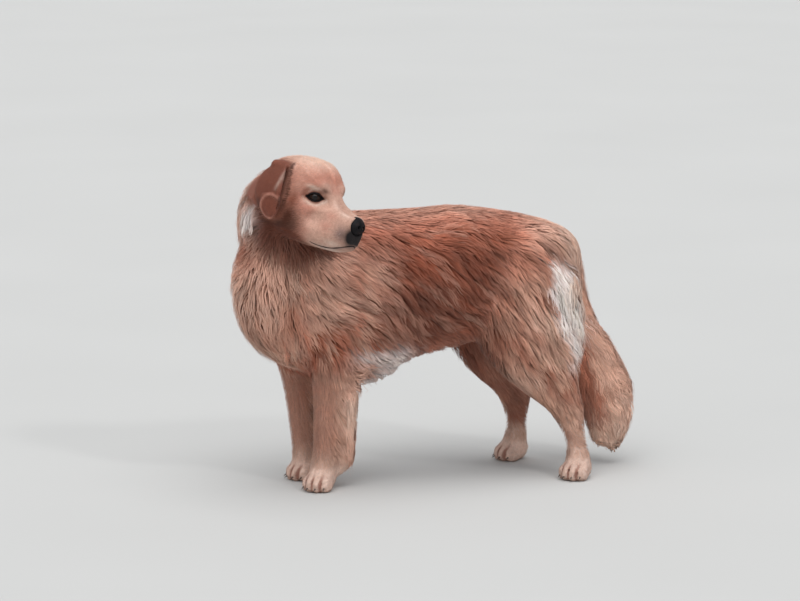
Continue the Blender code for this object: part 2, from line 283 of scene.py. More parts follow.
def earBack(hx, hy, hz):
    # where the outer ear's leather lies back along the neck, on the side the head turns away from
    edge = -0.069 - 0.2 * np.minimum(hx + 0.109, 0)
    along = ramp(hx, -0.222, -0.2) * ramp(hx, -0.098, -0.112)
    return along * ramp(hz - edge, -0.0035, 0.0035) * ramp(hy, -0.014, -0.028) * ramp(hz, 0.045, 0.03)


def coatDepth(x, y, z):
    s = depthStyle
    hx, hy, hz = headLattice(x, y, z)
    depth = np.interp(z, s["trunkHeights"], s["trunkDepths"]) + 0 * x + 0 * y
    hind = ramp(x, -0.02, -0.06) * ramp(z, 0.3, 0.2)
    fore = ramp(x, 0.15, 0.18) * ramp(z, 0.31, 0.24)
    front = legFrontAt(y, z)
    behind = ramp(x, front - s["legDeep"] + 0.006, front - s["legDeep"] - 0.016)
    for part, amount in (
        ("chest", ramp(x, 0.3, 0.42)),
        ("ruff", ramp(x + 0.8 * y, 0.2, 0.3) * ramp(z, 0.52, 0.6)),
        ("breeches", ramp(x, -0.21, -0.28) * ramp(z, 0.24, 0.32) * ramp(z, 0.52, 0.46)),
        ("legs", np.maximum(hind, fore)),
        ("feather", behind * fore * ramp(z, 0.075, 0.1)),
        ("paws", ramp(z, 0.075, 0.045)),
    ):
        depth = mix(depth, s[part], amount)
    face = np.interp(hx, s["headPlaces"], s["headDepths"])
    face = mix(face, s["throat"], ramp(hz, -0.088, -0.118) * ramp(hx, 0.03, -0.04))
    onHead = ramp(hx, -0.175, -0.125) * ramp(np.abs(hy), 0.135, 0.105) * ramp(hz, -0.165, -0.12)
    return mix(mix(depth, face, onHead), s["flap"], earBack(hx, hy, hz))


def smoothMin(a, b, soft):
    h = np.clip(0.5 + 0.5 * (b - a) / soft, 0, 1)
    return mix(b, a, h) - soft * h * (1 - h)


def egg(p, middle, radii):
    q = [(p[i] - middle[i]) / radii[i] for i in range(3)]
    k0 = np.sqrt(sum(v * v for v in q))
    k1 = np.sqrt(sum((q[i] / radii[i]) ** 2 for i in range(3)))
    return k0 * (k0 - 1) / np.maximum(k1, 1e-6)


def rod(p, start, end, radius):
    along = [end[i] - start[i] for i in range(3)]
    length = sum(v * v for v in along)
    t = np.clip(sum((p[i] - start[i]) * along[i] for i in range(3)) / length, 0, 1)
    return np.sqrt(sum((p[i] - start[i] - along[i] * t) ** 2 for i in range(3))) - radius


def carved(values, p, rows):
    # each row adds or takes, this softly, an egg of a middle and radii, or rods of a radius through points,
    # all in tenths of a millimetre
    for way, soft, first, *rest in rows:
        rest = [[v / 10000 for v in place] for place in rest]
        if isinstance(first, tuple):
            shapes = [egg(p, [v / 10000 for v in first], rest[0])]
        else:
            shapes = [rod(p, start, end, first / 10000) for start, end in zip(rest, rest[1:])]
        for shape in shapes:
            if way == "add":
                values = smoothMin(values, shape, soft / 10000)
            else:
                values = -smoothMin(-values, shape, soft / 10000)
    return values


# strokes on the head, in its own frame and made on both sides
headStrokes = [
    ("add", 100, (40, 300, 200), (200, 160, 110)),
    ("add", 120, (-220, 470, -300), (340, 130, 110)),
    ("take", 100, (340, 320, 0), (160, 110, 140)),
    ("take", 120, (300, 520, -440), (200, 110, 180)),
    ("add", 100, (740, 190, -580), (320, 170, 260)),
    ("add", 160, (-600, 480, -550), (400, 200, 360)),
    ("take", 60, (830, 0, 300), (520, 750, 445)),
    ("take", 30, (1115, 0, -305), (230, 240, 205)),
    ("take", 100, 50, (220, 0, 360), (-550, 0, 820)),
    ("take", 30, 16, (1140, 0, -460), (1130, 0, -700)),
    ("take", 30, 22, (1120, 40, -715), (1000, 240, -790), (840, 340, -885), (620, 380, -945)),
    ("take", 30, 22, (620, 380, -940), (260, 410, -950)),
]
earStrokes = [
    ("take", 30, 40, (-620, 810, 460), (-535, 880, 160), (-460, 930, -120)),
    ("take", 30, 50, (-1020, 900, -170), (-780, 955, -140)),
    ("take", 40, 65, (-1000, 840, 200), (-920, 920, -120)),
    ("take", 30, 40, (-800, 830, 300), (-760, 935, -40)),
    ("take", 30, (-650, 1035, -500), (230, 110, 210)),
    ("add", 30, 40, (-710, 750, 420), (-645, 885, 20), (-580, 925, -160)),
    ("add", 30, 35, (-940, 890, -340), (-920, 870, -600), (-740, 850, -750), (-490, 900, -730),
     (-390, 930, -500), (-410, 930, -280)),
    ("add", 30, 35, (-940, 890, -340), (-700, 935, -235), (-420, 930, -260)),
]


# the skin's surface
def tailPath():
    # the middle of the tail's own solid, level by level
    points, _ = solidOf(["tail"])
    low, high = points[:, 2].min(), points[:, 2].max()
    path = []
    for level in np.linspace(low + 0.045, high - 0.02, 12):
        near = points[np.abs(points[:, 2] - level) < 0.03]
        path.append([*(near[:, :2].min(0) + near[:, :2].max(0)) / 2, level])
    path = np.array(path)
    path[:, 0] += np.linspace(0.016, 0.012, len(path))
    return path


tailCore = tailPath()
tailRadii = np.interp(np.linspace(0, 1, len(tailCore)), [0, 0.3, 0.6, 1], [0.021, 0.032, 0.032, 0.028])
tailRadii = tailRadii + 0.0015


def tailField(x, y, z):
    total = 1.0
    for a, b, radius in zip(tailCore, tailCore[1:], tailRadii):
        total = np.minimum(total, rod((x, y, z), a, b, radius))
    return total


x, y, z = latticeOf(bareField)
skinRough = bareField.values + coatDepth(x, y, z)
skinRough = smoothMin(skinRough, tailField(x, y, z), 0.02)
soften(skinRough, 3)
roughShape = surfaceOf(gridFrom(skinRough, coarse, 0.03, np.round(bareField.low / coarse)))
print("skin: body surface,", len(roughShape[1]), "faces")

fine = fieldGrain["head"]
skinGrid = gridAround(roughShape, fine, 3, 3)
headNodes = ["head", "ear_left", "ear_right", "nose", "lower_jaw"]
headLow = np.min([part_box(n)[0] for n in headNodes], axis=0) - 0.02
headHigh = np.max([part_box(n)[1] for n in headNodes], axis=0) + 0.02
bareGrid = gridAround(bareShape, fine, 5, 16)
coatGrid = gridAround(coatShape, fine, 6, 12)
bareHead = fieldOf(bareGrid, fine, headLow, headHigh)
earHead = fieldOf(gridAround(earShape, fine, 8, 8), fine, headLow, headHigh)
x, y, z = latticeOf(bareHead)
hx, hy, hz = headLattice(x, y, z)
halfHead = (hx, np.abs(hy), hz)
soften(bareHead.values, 5)
soften(earHead.values, 3)
headSkin = bareHead.values + coatDepth(x, y, z)
headSkin = carved(headSkin, halfHead, headStrokes)
headSkin = np.maximum(headSkin, bareHead.values + depthStyle["least"])
headSkinBare = headSkin
earSkin = earHead.values + depthStyle["ears"]
earSkin = carved(earSkin, halfHead, earStrokes)
earSkin = np.maximum(earSkin, earHead.values + depthStyle["least"])
earRoot = rod(halfHead, (-0.066, 0.056, 0.04), (-0.108, 0.058, 0.034), 0.01)
headSkin = smoothMin(headSkin, earRoot, 0.012)
headSkin = np.where(earRoot < 0.02, smoothMin(headSkin, earSkin, 0.006), np.minimum(headSkin, earSkin))


def setInto(grid, field, values, width):
    # the finer values take the place of the body's in their own window, fully from this far inside it
    edge = 1.0
    for v in latticeOf(field):
        first, last = v.ravel()[0], v.ravel()[-1]
        edge = edge * ramp(v, first + 0.002, first + width)
        edge = edge * ramp(v, last - 0.002, last - width)
    cell = cellOf(np.round(field.low / fine))
    around = np.zeros(values.shape, np.float32)
    grid.copyToArray(around, ijk=cell)
    blended = mix(around, np.clip(values, -3 * fine, 3 * fine), edge)
    grid.copyFromArray(blended.astype(np.float32), ijk=cell)


setInto(skinGrid, bareHead, headSkin, 0.026)
hairDepth = np.where(earSkin < headSkinBare, depthStyle["ears"], coatDepth(x, y, z))
windows = [fieldOf(coatGrid, fine, headLow, headHigh)]
hairDepth = hairDepth * depthStyle["headroom"] + depthStyle["spare"]
windows[0].values = np.maximum(windows[0].values, headSkin - hairDepth)

# the paws: toes with clefts between them, in each paw's own frame (ahead, aside, up)
pawStyle = dict(
    headings={"fore_left": 46, "fore_right": 26, "hind_left": 42, "hind_right": 18},
    soleAhead=0.02, clawReach=0.017, clawHeight=0.0105, clawLength=0.0095, clawSplay=6, clawDip=-0.62,
    clawThick=0.2, clawBend=0.16,
    toes=[(-0.025, 0.026), (-0.0095, 0.038), (0.0095, 0.038), (0.025, 0.026)],
    strokes=[
        ("take", 40, 32, (140, 0, 420), (640, 0, 120)),
        ("take", 40, 42, (640, 0, 120), (520, 0, -40)),
        ("take", 40, 32, (80, 168, 390), (520, 186, 130)),
        ("take", 40, 42, (520, 186, 130), (420, 180, -40)),
        ("add", 30, (420, 95, 165), (170, 85, 160)),
        ("add", 30, (300, 260, 150), (160, 85, 150)),
    ],
)


def pawPlaces():
    places = {}
    for mount in frame["record"]["mounts"]:
        key = mount["name"].replace("sole_", "")
        angle = math.radians(pawStyle["headings"][key])
        ahead = np.array([math.cos(angle), math.sin(angle), 0])
        aside = np.array([-math.sin(angle), math.cos(angle), 0])
        places[key] = (np.array(mount["pos_m"]) - ahead * pawStyle["soleAhead"], ahead, aside)
    return places


for key, (place, ahead, aside) in pawPlaces().items():
    end, side = key.split("_")
    pawLow, pawHigh = (np.array(v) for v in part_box(end + "paw_" + side))
    barePaw = fieldOf(bareGrid, fine, pawLow - 0.014, pawHigh + 0.014)
    windows.append(fieldOf(coatGrid, fine, pawLow - 0.014, pawHigh + 0.014))
    soften(barePaw.values, 1)
    x, y, z = latticeOf(barePaw)
    dx, dy = x - place[0] + 0 * z, y - place[1] + 0 * z
    inPaw = (dx * ahead[0] + dy * ahead[1], np.abs(dx * aside[0] + dy * aside[1]), z + 0 * dx + 0 * dy)
    values = barePaw.values + coatDepth(x, y, z)
    values = carved(values, inPaw, pawStyle["strokes"])
    values = np.maximum(values, barePaw.values + depthStyle["least"])
    hairDepth = coatDepth(x, y, z) * depthStyle["headroom"]
    windows[-1].values = np.maximum(windows[-1].values, values - hairDepth - depthStyle["spare"])
    setInto(skinGrid, barePaw, values, 0.012)
skinPoints, skinQuads = surfaceOf(skinGrid)
print("skin: fine surface,", len(skinQuads), "faces")


def coatLook(points):
    # distance to the coat's outside and its slope, from the finer fields on the head and the paws
    total = coatField.look(points)
    for field in windows:
        low, high = field.low + 0.002, field.low + (np.array(field.values.shape) - 1) * field.step - 0.002
        gap = np.minimum(points - low, high - points).min(1)
        near = np.flatnonzero(gap > 0)
        if len(near):
            total[near] = mix(total[near], field.look(points[near]), ramp(gap[near], 0, 0.01)[:, None])
    return total[:, 0].astype(float), unit(total[:, 1:].astype(float))


def meshOf(name, points, faces):
    # faces is an array with as many columns as a face has corners
    mesh = bpy.data.meshes.new(name)
    sides = faces.shape[1]
    mesh.vertices.add(len(points))
    mesh.vertices.foreach_set("co", np.ascontiguousarray(points, np.float32).ravel())
    mesh.loops.add(faces.size)
    mesh.loops.foreach_set("vertex_index", np.ascontiguousarray(faces, np.int32).ravel())
    mesh.polygons.add(len(faces))
    mesh.polygons.foreach_set("loop_start", np.arange(0, faces.size, sides, dtype=np.int32))
    mesh.polygons.foreach_set("use_smooth", np.ones(len(faces), bool))
    mesh.update(calc_edges=True)
    return mesh


def objectOf(name, mesh):
    made = bpy.data.objects.new(name, mesh)
    bpy.context.scene.collection.objects.link(made)
    return made


def evaluatedMesh(thing):
    evaluated = thing.evaluated_get(bpy.context.evaluated_depsgraph_get())
    return bpy.data.meshes.new_from_object(evaluated)


def worked(mesh, job):
    work = bmesh.new()
    work.from_mesh(mesh)
    job(work)
    work.to_mesh(mesh)
    work.free()


def facesOut(points, faces):
    # turns every face round if the closed surface is inside out
    a, b, c = (points[faces[:, i]] for i in range(3))
    volume = (a * np.cross(b, c)).sum()
    return faces if volume > 0 else faces[:, ::-1]


skinStyle = dict(triangles=170000, eyeReach=0.024)
skinMesh = meshOf("skin", skinPoints, facesOut(skinPoints, skinQuads))
skin = objectOf("skin", skinMesh)
thin = skin.modifiers.new("thin", "DECIMATE")
thin.ratio = min(1.0, skinStyle["triangles"] / (2 * len(skinQuads)))
skinMesh = evaluatedMesh(skin)
skin.modifiers.clear()
skin.data = skinMesh
print("skin:", len(skinMesh.polygons), "faces after thinning")

# lids: the skin is drawn over each eyeball and parted in an almond
eyeStyle = dict(
    ball=0.0133, bulge=0.0011, bulgeWidth=0.55, rows=40, columns=56,
    lid=0.0147, halfLength=0.0172, upper=0.0092, lower=0.0066, ahead=(0.62, 0.76, 0.03), tilt=8.0,
    blend=0.01, sink=0.005, rim=0.0013,
)


def eyeFrame(side):
    # middle of the ball, then the way to the inner corner, to the brow, and out along the gaze
    gaze = unit(np.array(eyeStyle["ahead"]) * (1, side, 1))
    inner = unit(np.cross((0, 0, 1.0), gaze) * -side)
    brow = np.cross(gaze, inner) * side * -1
    brow = brow * np.sign(brow[2])
    angle = math.radians(eyeStyle["tilt"])
    tilted = inner * math.cos(angle) + brow * math.sin(angle)
    raised = brow * math.cos(angle) - inner * math.sin(angle)
    middle = middleOf("eye_left" if side > 0 else "eye_right")
    return middle, headAxes @ tilted, headAxes @ raised, headAxes @ gaze


def lidSurface(q):
    r = eyeStyle["lid"]
    bend = 0.8 * r
    inside = np.sqrt(np.maximum(r * r - q * q, 0))
    return np.where(q < bend, inside, 0.6 * r - (q - bend) * 1.1)


def opening(s, edge):
    return eyeStyle[edge] * np.maximum(1 - np.abs(s / eyeStyle["halfLength"]) ** 2.2, 0)


def marginOf(s, t):
    # distance out from the almond's edge, negative inside it
    half = eyeStyle["halfLength"]
    beside = np.hypot(np.maximum(np.abs(s) - half, 0), t)
    over = np.maximum(t - opening(s, "upper"), -opening(s, "lower") - t)
    return np.where(np.abs(s) < half, over, beside)


def refineNear(work):
    middles = [Vector(frame[0]) for frame in eyeFrames.values()]
    for _ in range(2):
        close = [v for v in work.verts if min((v.co - m).length for m in middles) < skinStyle["eyeReach"]]
        edges = {e for v in close for e in v.link_edges}
        bmesh.ops.subdivide_edges(work, edges=list(edges), cuts=1)
        bmesh.ops.triangulate(work, faces=[f for f in work.faces if len(f.verts) > 3])


eyeFrames = {side: eyeFrame(side) for side in (1, -1)}
worked(skinMesh, refineNear)


def parted(points):
    for middle, inner, brow, gaze in eyeFrames.values():
        rel = points - middle
        s, t, out = rel @ inner, rel @ brow, rel @ gaze
        q = np.hypot(s, t)
        margin = marginOf(s, t)
        near = (q < 0.03) & (out > -0.008)
        pull = ramp(margin, eyeStyle["blend"], 0.0005)
        goal = lidSurface(q) + 0.0007 * np.exp(-(((margin - 0.003) / 0.0016) ** 2)) * (t > 0)
        goal = goal - eyeStyle["sink"] * ramp(-margin, -0.0002, 0.0012)
        moved = mix(out, goal, pull)
        points = points + np.where(near, moved - out, 0)[:, None] * gaze
    return points


skinCo = parted(readOut(skinMesh.vertices, "co", 3).astype(float))
skinMesh.vertices.foreach_set("co", skinCo.astype(np.float32).ravel())
skinMesh.update()
print("skin: lids parted,", len(skinMesh.polygons), "faces")

# the skin's regions, their markings and how the coat lies on them
mouthLine = np.array([
    (220, 410, -930), (320, 405, -955), (460, 395, -960), (620, 375, -940), (740, 355, -920),
    (860, 315, -875), (960, 255, -820), (1050, 160, -760), (1120, 0, -715),
]) / 10000
mouthRun = (mouthLine[:, 0], mouthLine[:, 2])

regionTraits = ("length", "width", "gap", "lift", "wave", "rings", "blend", "colour")
regionStyle = {
    # gap is between roots, lift from the skin, and blend goes from faceted locks to a smooth sheen
    "muzzle": (0.0042, 0.0009, 0.0019, 0.04, 0.0, 1, 0.94, "gold"),
    "skull": (0.0082, 0.0013, 0.0024, 0.03, 0.001, 2, 0.96, "tawny"),
    "ear": (0.007, 0.0011, 0.0022, 0.06, 0.001, 1, 0.9, "rust"),
    "ruff": (0.062, 0.0027, 0.0046, 0.3, 0.005, 5, 0.72, "gold"),
    "chest": (0.088, 0.0027, 0.0045, 0.35, 0.006, 5, 0.72, "gold"),
    "back": (0.044, 0.0027, 0.0039, 0.1, 0.002, 4, 0.84, "tawny"),
    "flank": (0.056, 0.003, 0.0043, 0.14, 0.004, 4, 0.8, "copper"),
    "belly": (0.06, 0.0034, 0.0056, 0.45, 0.005, 5, 0.74, "gold"),
    "rump": (0.08, 0.0032, 0.0044, 0.35, 0.006, 5, 0.74, "gold"),
    "foreleg": (0.016, 0.0015, 0.003, 0.1, 0.001, 3, 0.9, "gold"),
    "feather": (0.08, 0.0028, 0.0032, 0.6, 0.005, 5, 0.74, "fawn"),
    "hindleg": (0.032, 0.0024, 0.0042, 0.14, 0.002, 4, 0.86, "gold"),
    "foot": (0.007, 0.0014, 0.0031, 0.08, 0.0, 2, 0.88, "cream"),
    "tail": (0.115, 0.003, 0.0034, 0.8, 0.006, 5, 0.7, "gold"),
}
regionStyle = {name: dict(zip(regionTraits, row)) for name, row in regionStyle.items()}
regionNames = list(regionStyle)
tints = {
    "copper": (0.41, 0.13, 0.076),
    "tawny": (0.54, 0.26, 0.2),
    "rust": (0.24, 0.068, 0.038),
    "umber": (0.085, 0.033, 0.022),
    # a dark brown used only for painted shade and painted shadow on the cheek, under the ears and under the
    # jaw
    "mahogany": (0.085, 0.024, 0.012),
    "gold": (0.55, 0.335, 0.265),
    "fawn": (0.7, 0.445, 0.365),
    "cream": (0.8, 0.66, 0.58),
    "white": (0.95, 0.93, 0.98),
    "leather": (0.012, 0.009, 0.01),
    "slate": (0.15, 0.105, 0.105),
}
tints = {name: np.array(value) for name, value in tints.items()}


def treeOf(points, faces):
    return BVHTree.FromPolygons([Vector(v) for v in points.tolist()], faces.tolist())


def nearestNodes(points):
    owner = np.concatenate([np.full(len(solidOf([n])[1]), i) for i, n in enumerate(everyNode)])
    tree = treeOf(*solidOf(everyNode))
    return owner[np.array([tree.find_nearest(p)[2] for p in points.tolist()])]


def spread(values, edges, rounds, keep=0.35):
    # diffuses a value over the skin from vertex to vertex
    count = np.bincount(edges.ravel(), minlength=len(values))[:, None]
    a, b = edges.T
    for _ in range(rounds):
        total = [np.bincount(a, v[b], len(v)) + np.bincount(b, v[a], len(v)) for v in values.T]
        total = np.stack(total, 1)
        values = keep * values + (1 - keep) * total / np.maximum(count, 1)
    return values


skinNormals = readOut(skinMesh.vertex_normals, "vector", 3).astype(float)
skinHead = toHead(skinCo)
nodeName = np.array(everyNode)[nearestNodes(skinCo)]


def regionOf():
    x, _, z = skinCo.T
    hx, hy, hz = skinHead.T
    facingX, _, facingZ = skinNormals.T
    names = np.full(len(x), "flank", dtype=object)
    trunk = nodeName == "trunk"
    names[trunk & (facingZ > 0.62)] = "back"
    names[trunk & (facingZ < -0.45) & (x < 0.3)] = "belly"
    names[trunk & (x > 0.345)] = "chest"
    names[trunk & (x < -0.24) & (facingX < -0.25)] = "rump"
    names[nodeName == "neck"] = "ruff"
    names[np.isin(nodeName, ("head", "lower_jaw", "nose", "eye_left", "eye_right"))] = "skull"
    names[(names == "skull") & (hx > 0.012)] = "muzzle"
    names[(names == "skull") & (hx < -0.118)] = "ruff"
    names[(names == "skull") & (hz < -0.098) & (hx < 0.0)] = "ruff"
    names[(names == "ruff") & (earBack(hx, hy, hz) > 0.5) & (nodeName != "trunk")] = "ear"
    whole = {"tail": "tail"}
    for side in ("_left", "_right"):
        whole.update({"ear" + side: "ear", "foreleg" + side: "foreleg", "hindleg" + side: "hindleg"})
        whole.update({"forepaw" + side: "foot", "hindpaw" + side: "foot"})
    for node, region in whole.items():
        names[nodeName == node] = region
    names[(names == "foreleg") & (facingX < -0.3) & (z > 0.085)] = "feather"
    names[np.isin(names, ("foreleg", "feather")) & (z > 0.3)] = "flank"
    names[(names == "hindleg") & (z > 0.3) & (x < -0.2) & (facingX < -0.2)] = "rump"
    return np.array([regionNames.index(n) for n in names])


skinEdges = readOut(skinMesh.edges, "vertices", 2, np.int32)
skinRegion = regionOf()
weights = spread(np.eye(len(regionNames))[skinRegion], skinEdges, 14)


def tabled(key):
    return weights @ np.array([regionStyle[n][key] for n in regionNames])


def share(*names):
    return sum(weights[:, regionNames.index(n)] for n in names)


faceShades = [
    # tint, middle and radii in the head's frame in tenths of a millimetre (the same on both sides), amount
    # the next six rows are painted shade and shadow: the crease before the ear, the shaded cheek, under the
    # ear and under the chin
    ("rust", (-280, 720, -180), (120, 160, 280), 0.9),
    ("mahogany", (-260, 700, -620), (150, 200, 260), 1.1),
    ("mahogany", (-360, 620, -920), (280, 280, 220), 1.6),
    ("umber", (-100, 660, -660), (170, 220, 250), 0.75),
    ("mahogany", (-800, 620, -1000), (320, 280, 180), 1.8),
    ("umber", (-220, 240, -1200), (360, 380, 240), 1.5),
    ("fawn", (-280, 700, 140), (130, 140, 180), 0.45),
    ("fawn", (180, 530, -500), (160, 160, 140), 0.85),
    ("copper", (160, 530, -260), (130, 140, 90), 0.35),
    ("tawny", (220, 60, 240), (90, 140, 140), 0.75),
    ("tawny", (530, 400, -500), (160, 140, 130), 0.7),
    ("tawny", (560, 370, -260), (140, 120, 80), 0.6),
    # a painted highlight along the side of the bridge
    ("cream", (560, 220, 0), (200, 110, 100), 0.3),
    ("cream", (830, 240, -120), (140, 120, 70), 0.45),
    ("slate", (900, 340, -540), (150, 140, 160), 0.75),
    ("cream", (780, 320, -800), (200, 120, 60), 0.5),
    ("cream", (700, 200, -1010), (320, 260, 100), 0.95),
    ("leather", (1115, 100, -540), (135, 240, 175), 2.4),
    ("umber", (210, 360, 175), (80, 100, 50), 1.0),
    ("umber", (130, 420, 115), (90, 100, 45), 0.7),
    ("cream", (-20, 500, 185), (130, 120, 42), 0.95),
    ("cream", (20, 530, -160), (120, 120, 45), 0.75),
]


def markings():
    x, y, z = skinCo.T
    hx, hy, hz = skinHead.T
    base = weights @ np.array([tints[regionStyle[n]["colour"]] for n in regionNames])

    def lay(tint, where, amount=1.0, **limits):
        # where is each vertex's share or some regions' names, and each limit fades it in along a value
        nonlocal base
        if isinstance(where, str):
            where = share(*where.split())
        for name, ends in limits.items():
            for start, end in zip(ends[::2], ends[1::2]):
                where = where * ramp(values[name], start, end)
        base = mix(base, tints[tint], np.clip(where * amount, 0, 1)[:, None])

    # ripples run along the flank's hair, streaks hang down the chest
    alongFlank = np.array([[-0.76, 0, -0.65], [0, 1, 0], [-0.65, 0, 0.76]])
    ripple = drift(skinCo @ alongFlank.T / (3.0, 1.5, 1.0), 0.026, 1)
    streak = drift(skinCo / (1.0, 1.0, 5.0), 0.017, 3)
    blotch = drift(skinCo, 0.06, 5)
    small = drift(skinCo, 0.022, 2)
    side = np.abs(hy)
    values = dict(x=x, z=z, hx=hx, hz=hz, side=side, ripple=ripple, streak=streak, blotch=blotch, small=small)
    lay("copper", "flank back hindleg rump belly", 0.6, z=(0.615, 0.585), x=(-0.21, -0.14))
    lay("fawn", "back rump flank", 0.7, x=(-0.1, -0.24), z=(0.5, 0.54))
    # paler along the top of the back: partly the coat's colour, partly painted light from above
    lay("fawn", "back", 0.55, z=(0.575, 0.6))
    lay("cream", "back rump flank", 0.6, x=(-0.19, -0.26), z=(0.49, 0.54))
    lay("fawn", "flank ruff", 0.65, x=(0.22, 0.28), z=(0.36, 0.44))
    # darker down the flank: partly the coat's colour, partly painted shade on the side
    lay("rust", "flank back", 0.85, z=(0.6, 0.52), x=(0.24, 0.18, -0.16, -0.08))
    lay("rust", share("flank") * ramp(ripple + 0.5 * blotch, 0.0, 0.6), 0.7, z=(0.57, 0.51))
    lay("umber", "flank", 0.6, ripple=(0.25, 0.8), z=(0.57, 0.52, 0.33, 0.4), x=(0.22, 0.16))
    lay("umber", "flank", 0.45, z=(0.5, 0.44, 0.31, 0.36), x=(0.2, 0.12, -0.15, -0.07))
    lay("gold", share("flank") * ramp(streak + 0.3 * small, -0.1, 0.5), 0.8, x=(0.13, 0.19), z=(0.56, 0.48))
    lay("rust", "flank", 0.2, x=(0.1, 0.15, 0.21, 0.16), z=(0.62, 0.55))
    lay("fawn", "flank", 0.3, x=(0.12, 0.18), z=(0.36, 0.42))
    lay("fawn", "rump back flank", 0.35, x=(-0.12, -0.2), z=(0.5, 0.56))
    haunch = share("flank", "hindleg", "rump") * ramp(x, -0.06, -0.15) * ramp(z, 0.56, 0.44)
    lay("gold", haunch, 0.75)
    lay("rust", haunch * ramp(small + 0.6 * ripple, 0.1, 0.7), 0.5)
    lay("cream", haunch * ramp(-ripple + 0.5 * small, 0.0, 0.7), 0.45)
    lay("umber", "hindleg flank", 0.6, x=(-0.14, -0.09, -0.02, -0.05), z=(0.42, 0.34, 0.2, 0.26))
    lay("rust", "belly", 0.45)
    lay("white", "belly flank", 0.85, x=(0.05, 0.13, 0.27, 0.2), z=(0.35, 0.315))
    # the pale stripe down the breeches
    offStripe = np.abs(x - np.interp(z, [0.3, 0.5], [-0.306, -0.232]))
    halfStripe = np.interp(z, [0.28, 0.4, 0.5], [0.042, 0.038, 0.02])
    stripe = ramp(offStripe + 0.01 * small, halfStripe + 0.016, halfStripe - 0.008)
    stripe = stripe * ramp(z, 0.525, 0.485) * ramp(z, 0.24, 0.3)
    lay("white", share("rump", "hindleg", "flank") * stripe, 0.95)
    rearward = ramp(-skinNormals[:, 0], 0.4, 0.8)
    lay("cream", share("rump", "hindleg") * rearward, 0.7, z=(0.2, 0.3, 0.54, 0.46))
    # neck and chest
    front = share("chest", "ruff")
    lay("copper", front, 0.55, streak=(0.0, 0.6))
    lay("cream", front * ramp(-streak, 0.15, 0.7), 0.45, z=(0.62, 0.5))
    lay("fawn", "ruff chest", 0.95, x=(0.35, 0.41), z=(0.38, 0.46))
    lay("fawn", "ruff", 0.5, x=(0.32, 0.38), hz=(-0.1, -0.13))
    lay("cream", "ruff chest", 0.3, x=(0.4, 0.45), z=(0.4, 0.48), hz=(-0.2, -0.24))
    patch = np.exp(-(((hx + 0.148) / 0.035) ** 2) - ((hz + 0.146) / 0.034) ** 2)
    lay("copper", share("ruff") * patch, 0.9)
    # legs
    legs = share("foreleg", "hindleg")
    lay("copper", legs, 0.35, z=(0.12, 0.26), small=(-0.2, 0.5))
    # the hind legs' inner sides, facing each other, painted darker: painted shade between the legs
    innerLegShade = ramp(skinNormals[:, 1] * np.sign(midline - y), 0.0, 0.6)
    lay("rust", share("hindleg") * innerLegShade, 0.65, z=(0.05, 0.12))
    lay("tawny", "foreleg", 0.3)
    lay("umber", "foreleg", 0.1)
    lay("tawny", "foot", 0.3)
    lay("cream", legs, 0.5, z=(0.11, 0.04))
    # the clefts between the toes painted darker: painted shade
    for place, ahead, aside in pawPlaces().values():
        rel = skinCo - place
        reach, across = rel @ ahead, np.abs(rel @ aside)
        cleft = np.minimum(across, np.abs(across - 0.0175))
        near = ramp(reach, 0.012, 0.028) * ramp(np.abs(reach), 0.075, 0.065)
        near = near * ramp(across, 0.035, 0.03) * ramp(z, 0.042, 0.03)
        lay("rust", share("foot") * near * ramp(cleft, 0.004, 0.0012), 0.75)
    lay("cream", "feather", 0.5, blotch=(-0.3, 0.5))
    # tail: copper at its core, paler to the fringe and the end
    tail = share("tail")
    core = np.interp(z, tailCore[:, 2], tailCore[:, 0])
    lay("copper", tail * ramp(x, core + 0.006, core + 0.016), 0.8, z=(0.12, 0.2))
    lay("fawn", tail * ramp(x, core + 0.01, core - 0.006), 0.55)
    lay("cream", tail, 0.6, z=(0.26, 0.08))
    # the face
    face = share("skull", "muzzle")
    lay("fawn", face, 0.9, hz=(0.02, 0.06), hx=(0.02, -0.03))
    lay("copper", face, 0.5, hx=(-0.01, -0.05), hz=(-0.02, -0.06), side=(0.03, 0.05))
    lay("cream", "skull", 0.6, hz=(0.045, 0.075))
    head = share("skull", "muzzle", "ruff", "ear")
    for name, middle, radii, amount in faceShades:
        far = sum(((q - m / 10000) / (r / 10000)) ** 2 for q, m, r in zip((hx, side, hz), middle, radii))
        lay(name, head * np.exp(-far) * amount)
    # painted shadow under the jaw, on the throat
    throat = share("ruff", "skull", "chest") * ramp(hz, -0.08, -0.092) * ramp(hz, -0.145, -0.12)
    throat = throat * ramp(hx, 0.02, -0.01) * ramp(hx, -0.12, -0.09)
    lay("rust", throat, 0.7)
    lay("mahogany", throat, 0.5)
    nearMouth = np.exp(-(((hz - np.interp(hx, *mouthRun)) / 0.004) ** 2))
    lay("slate", share("muzzle") * nearMouth, 0.4, hx=(0.02, 0.05))
    patch = np.exp(-(((hx + 0.138) / 0.03) ** 2) - ((hz + 0.078) / 0.025) ** 2)
    lay("white", share("ruff", "skull") * patch, 1.5, side=(0.01, 0.03))
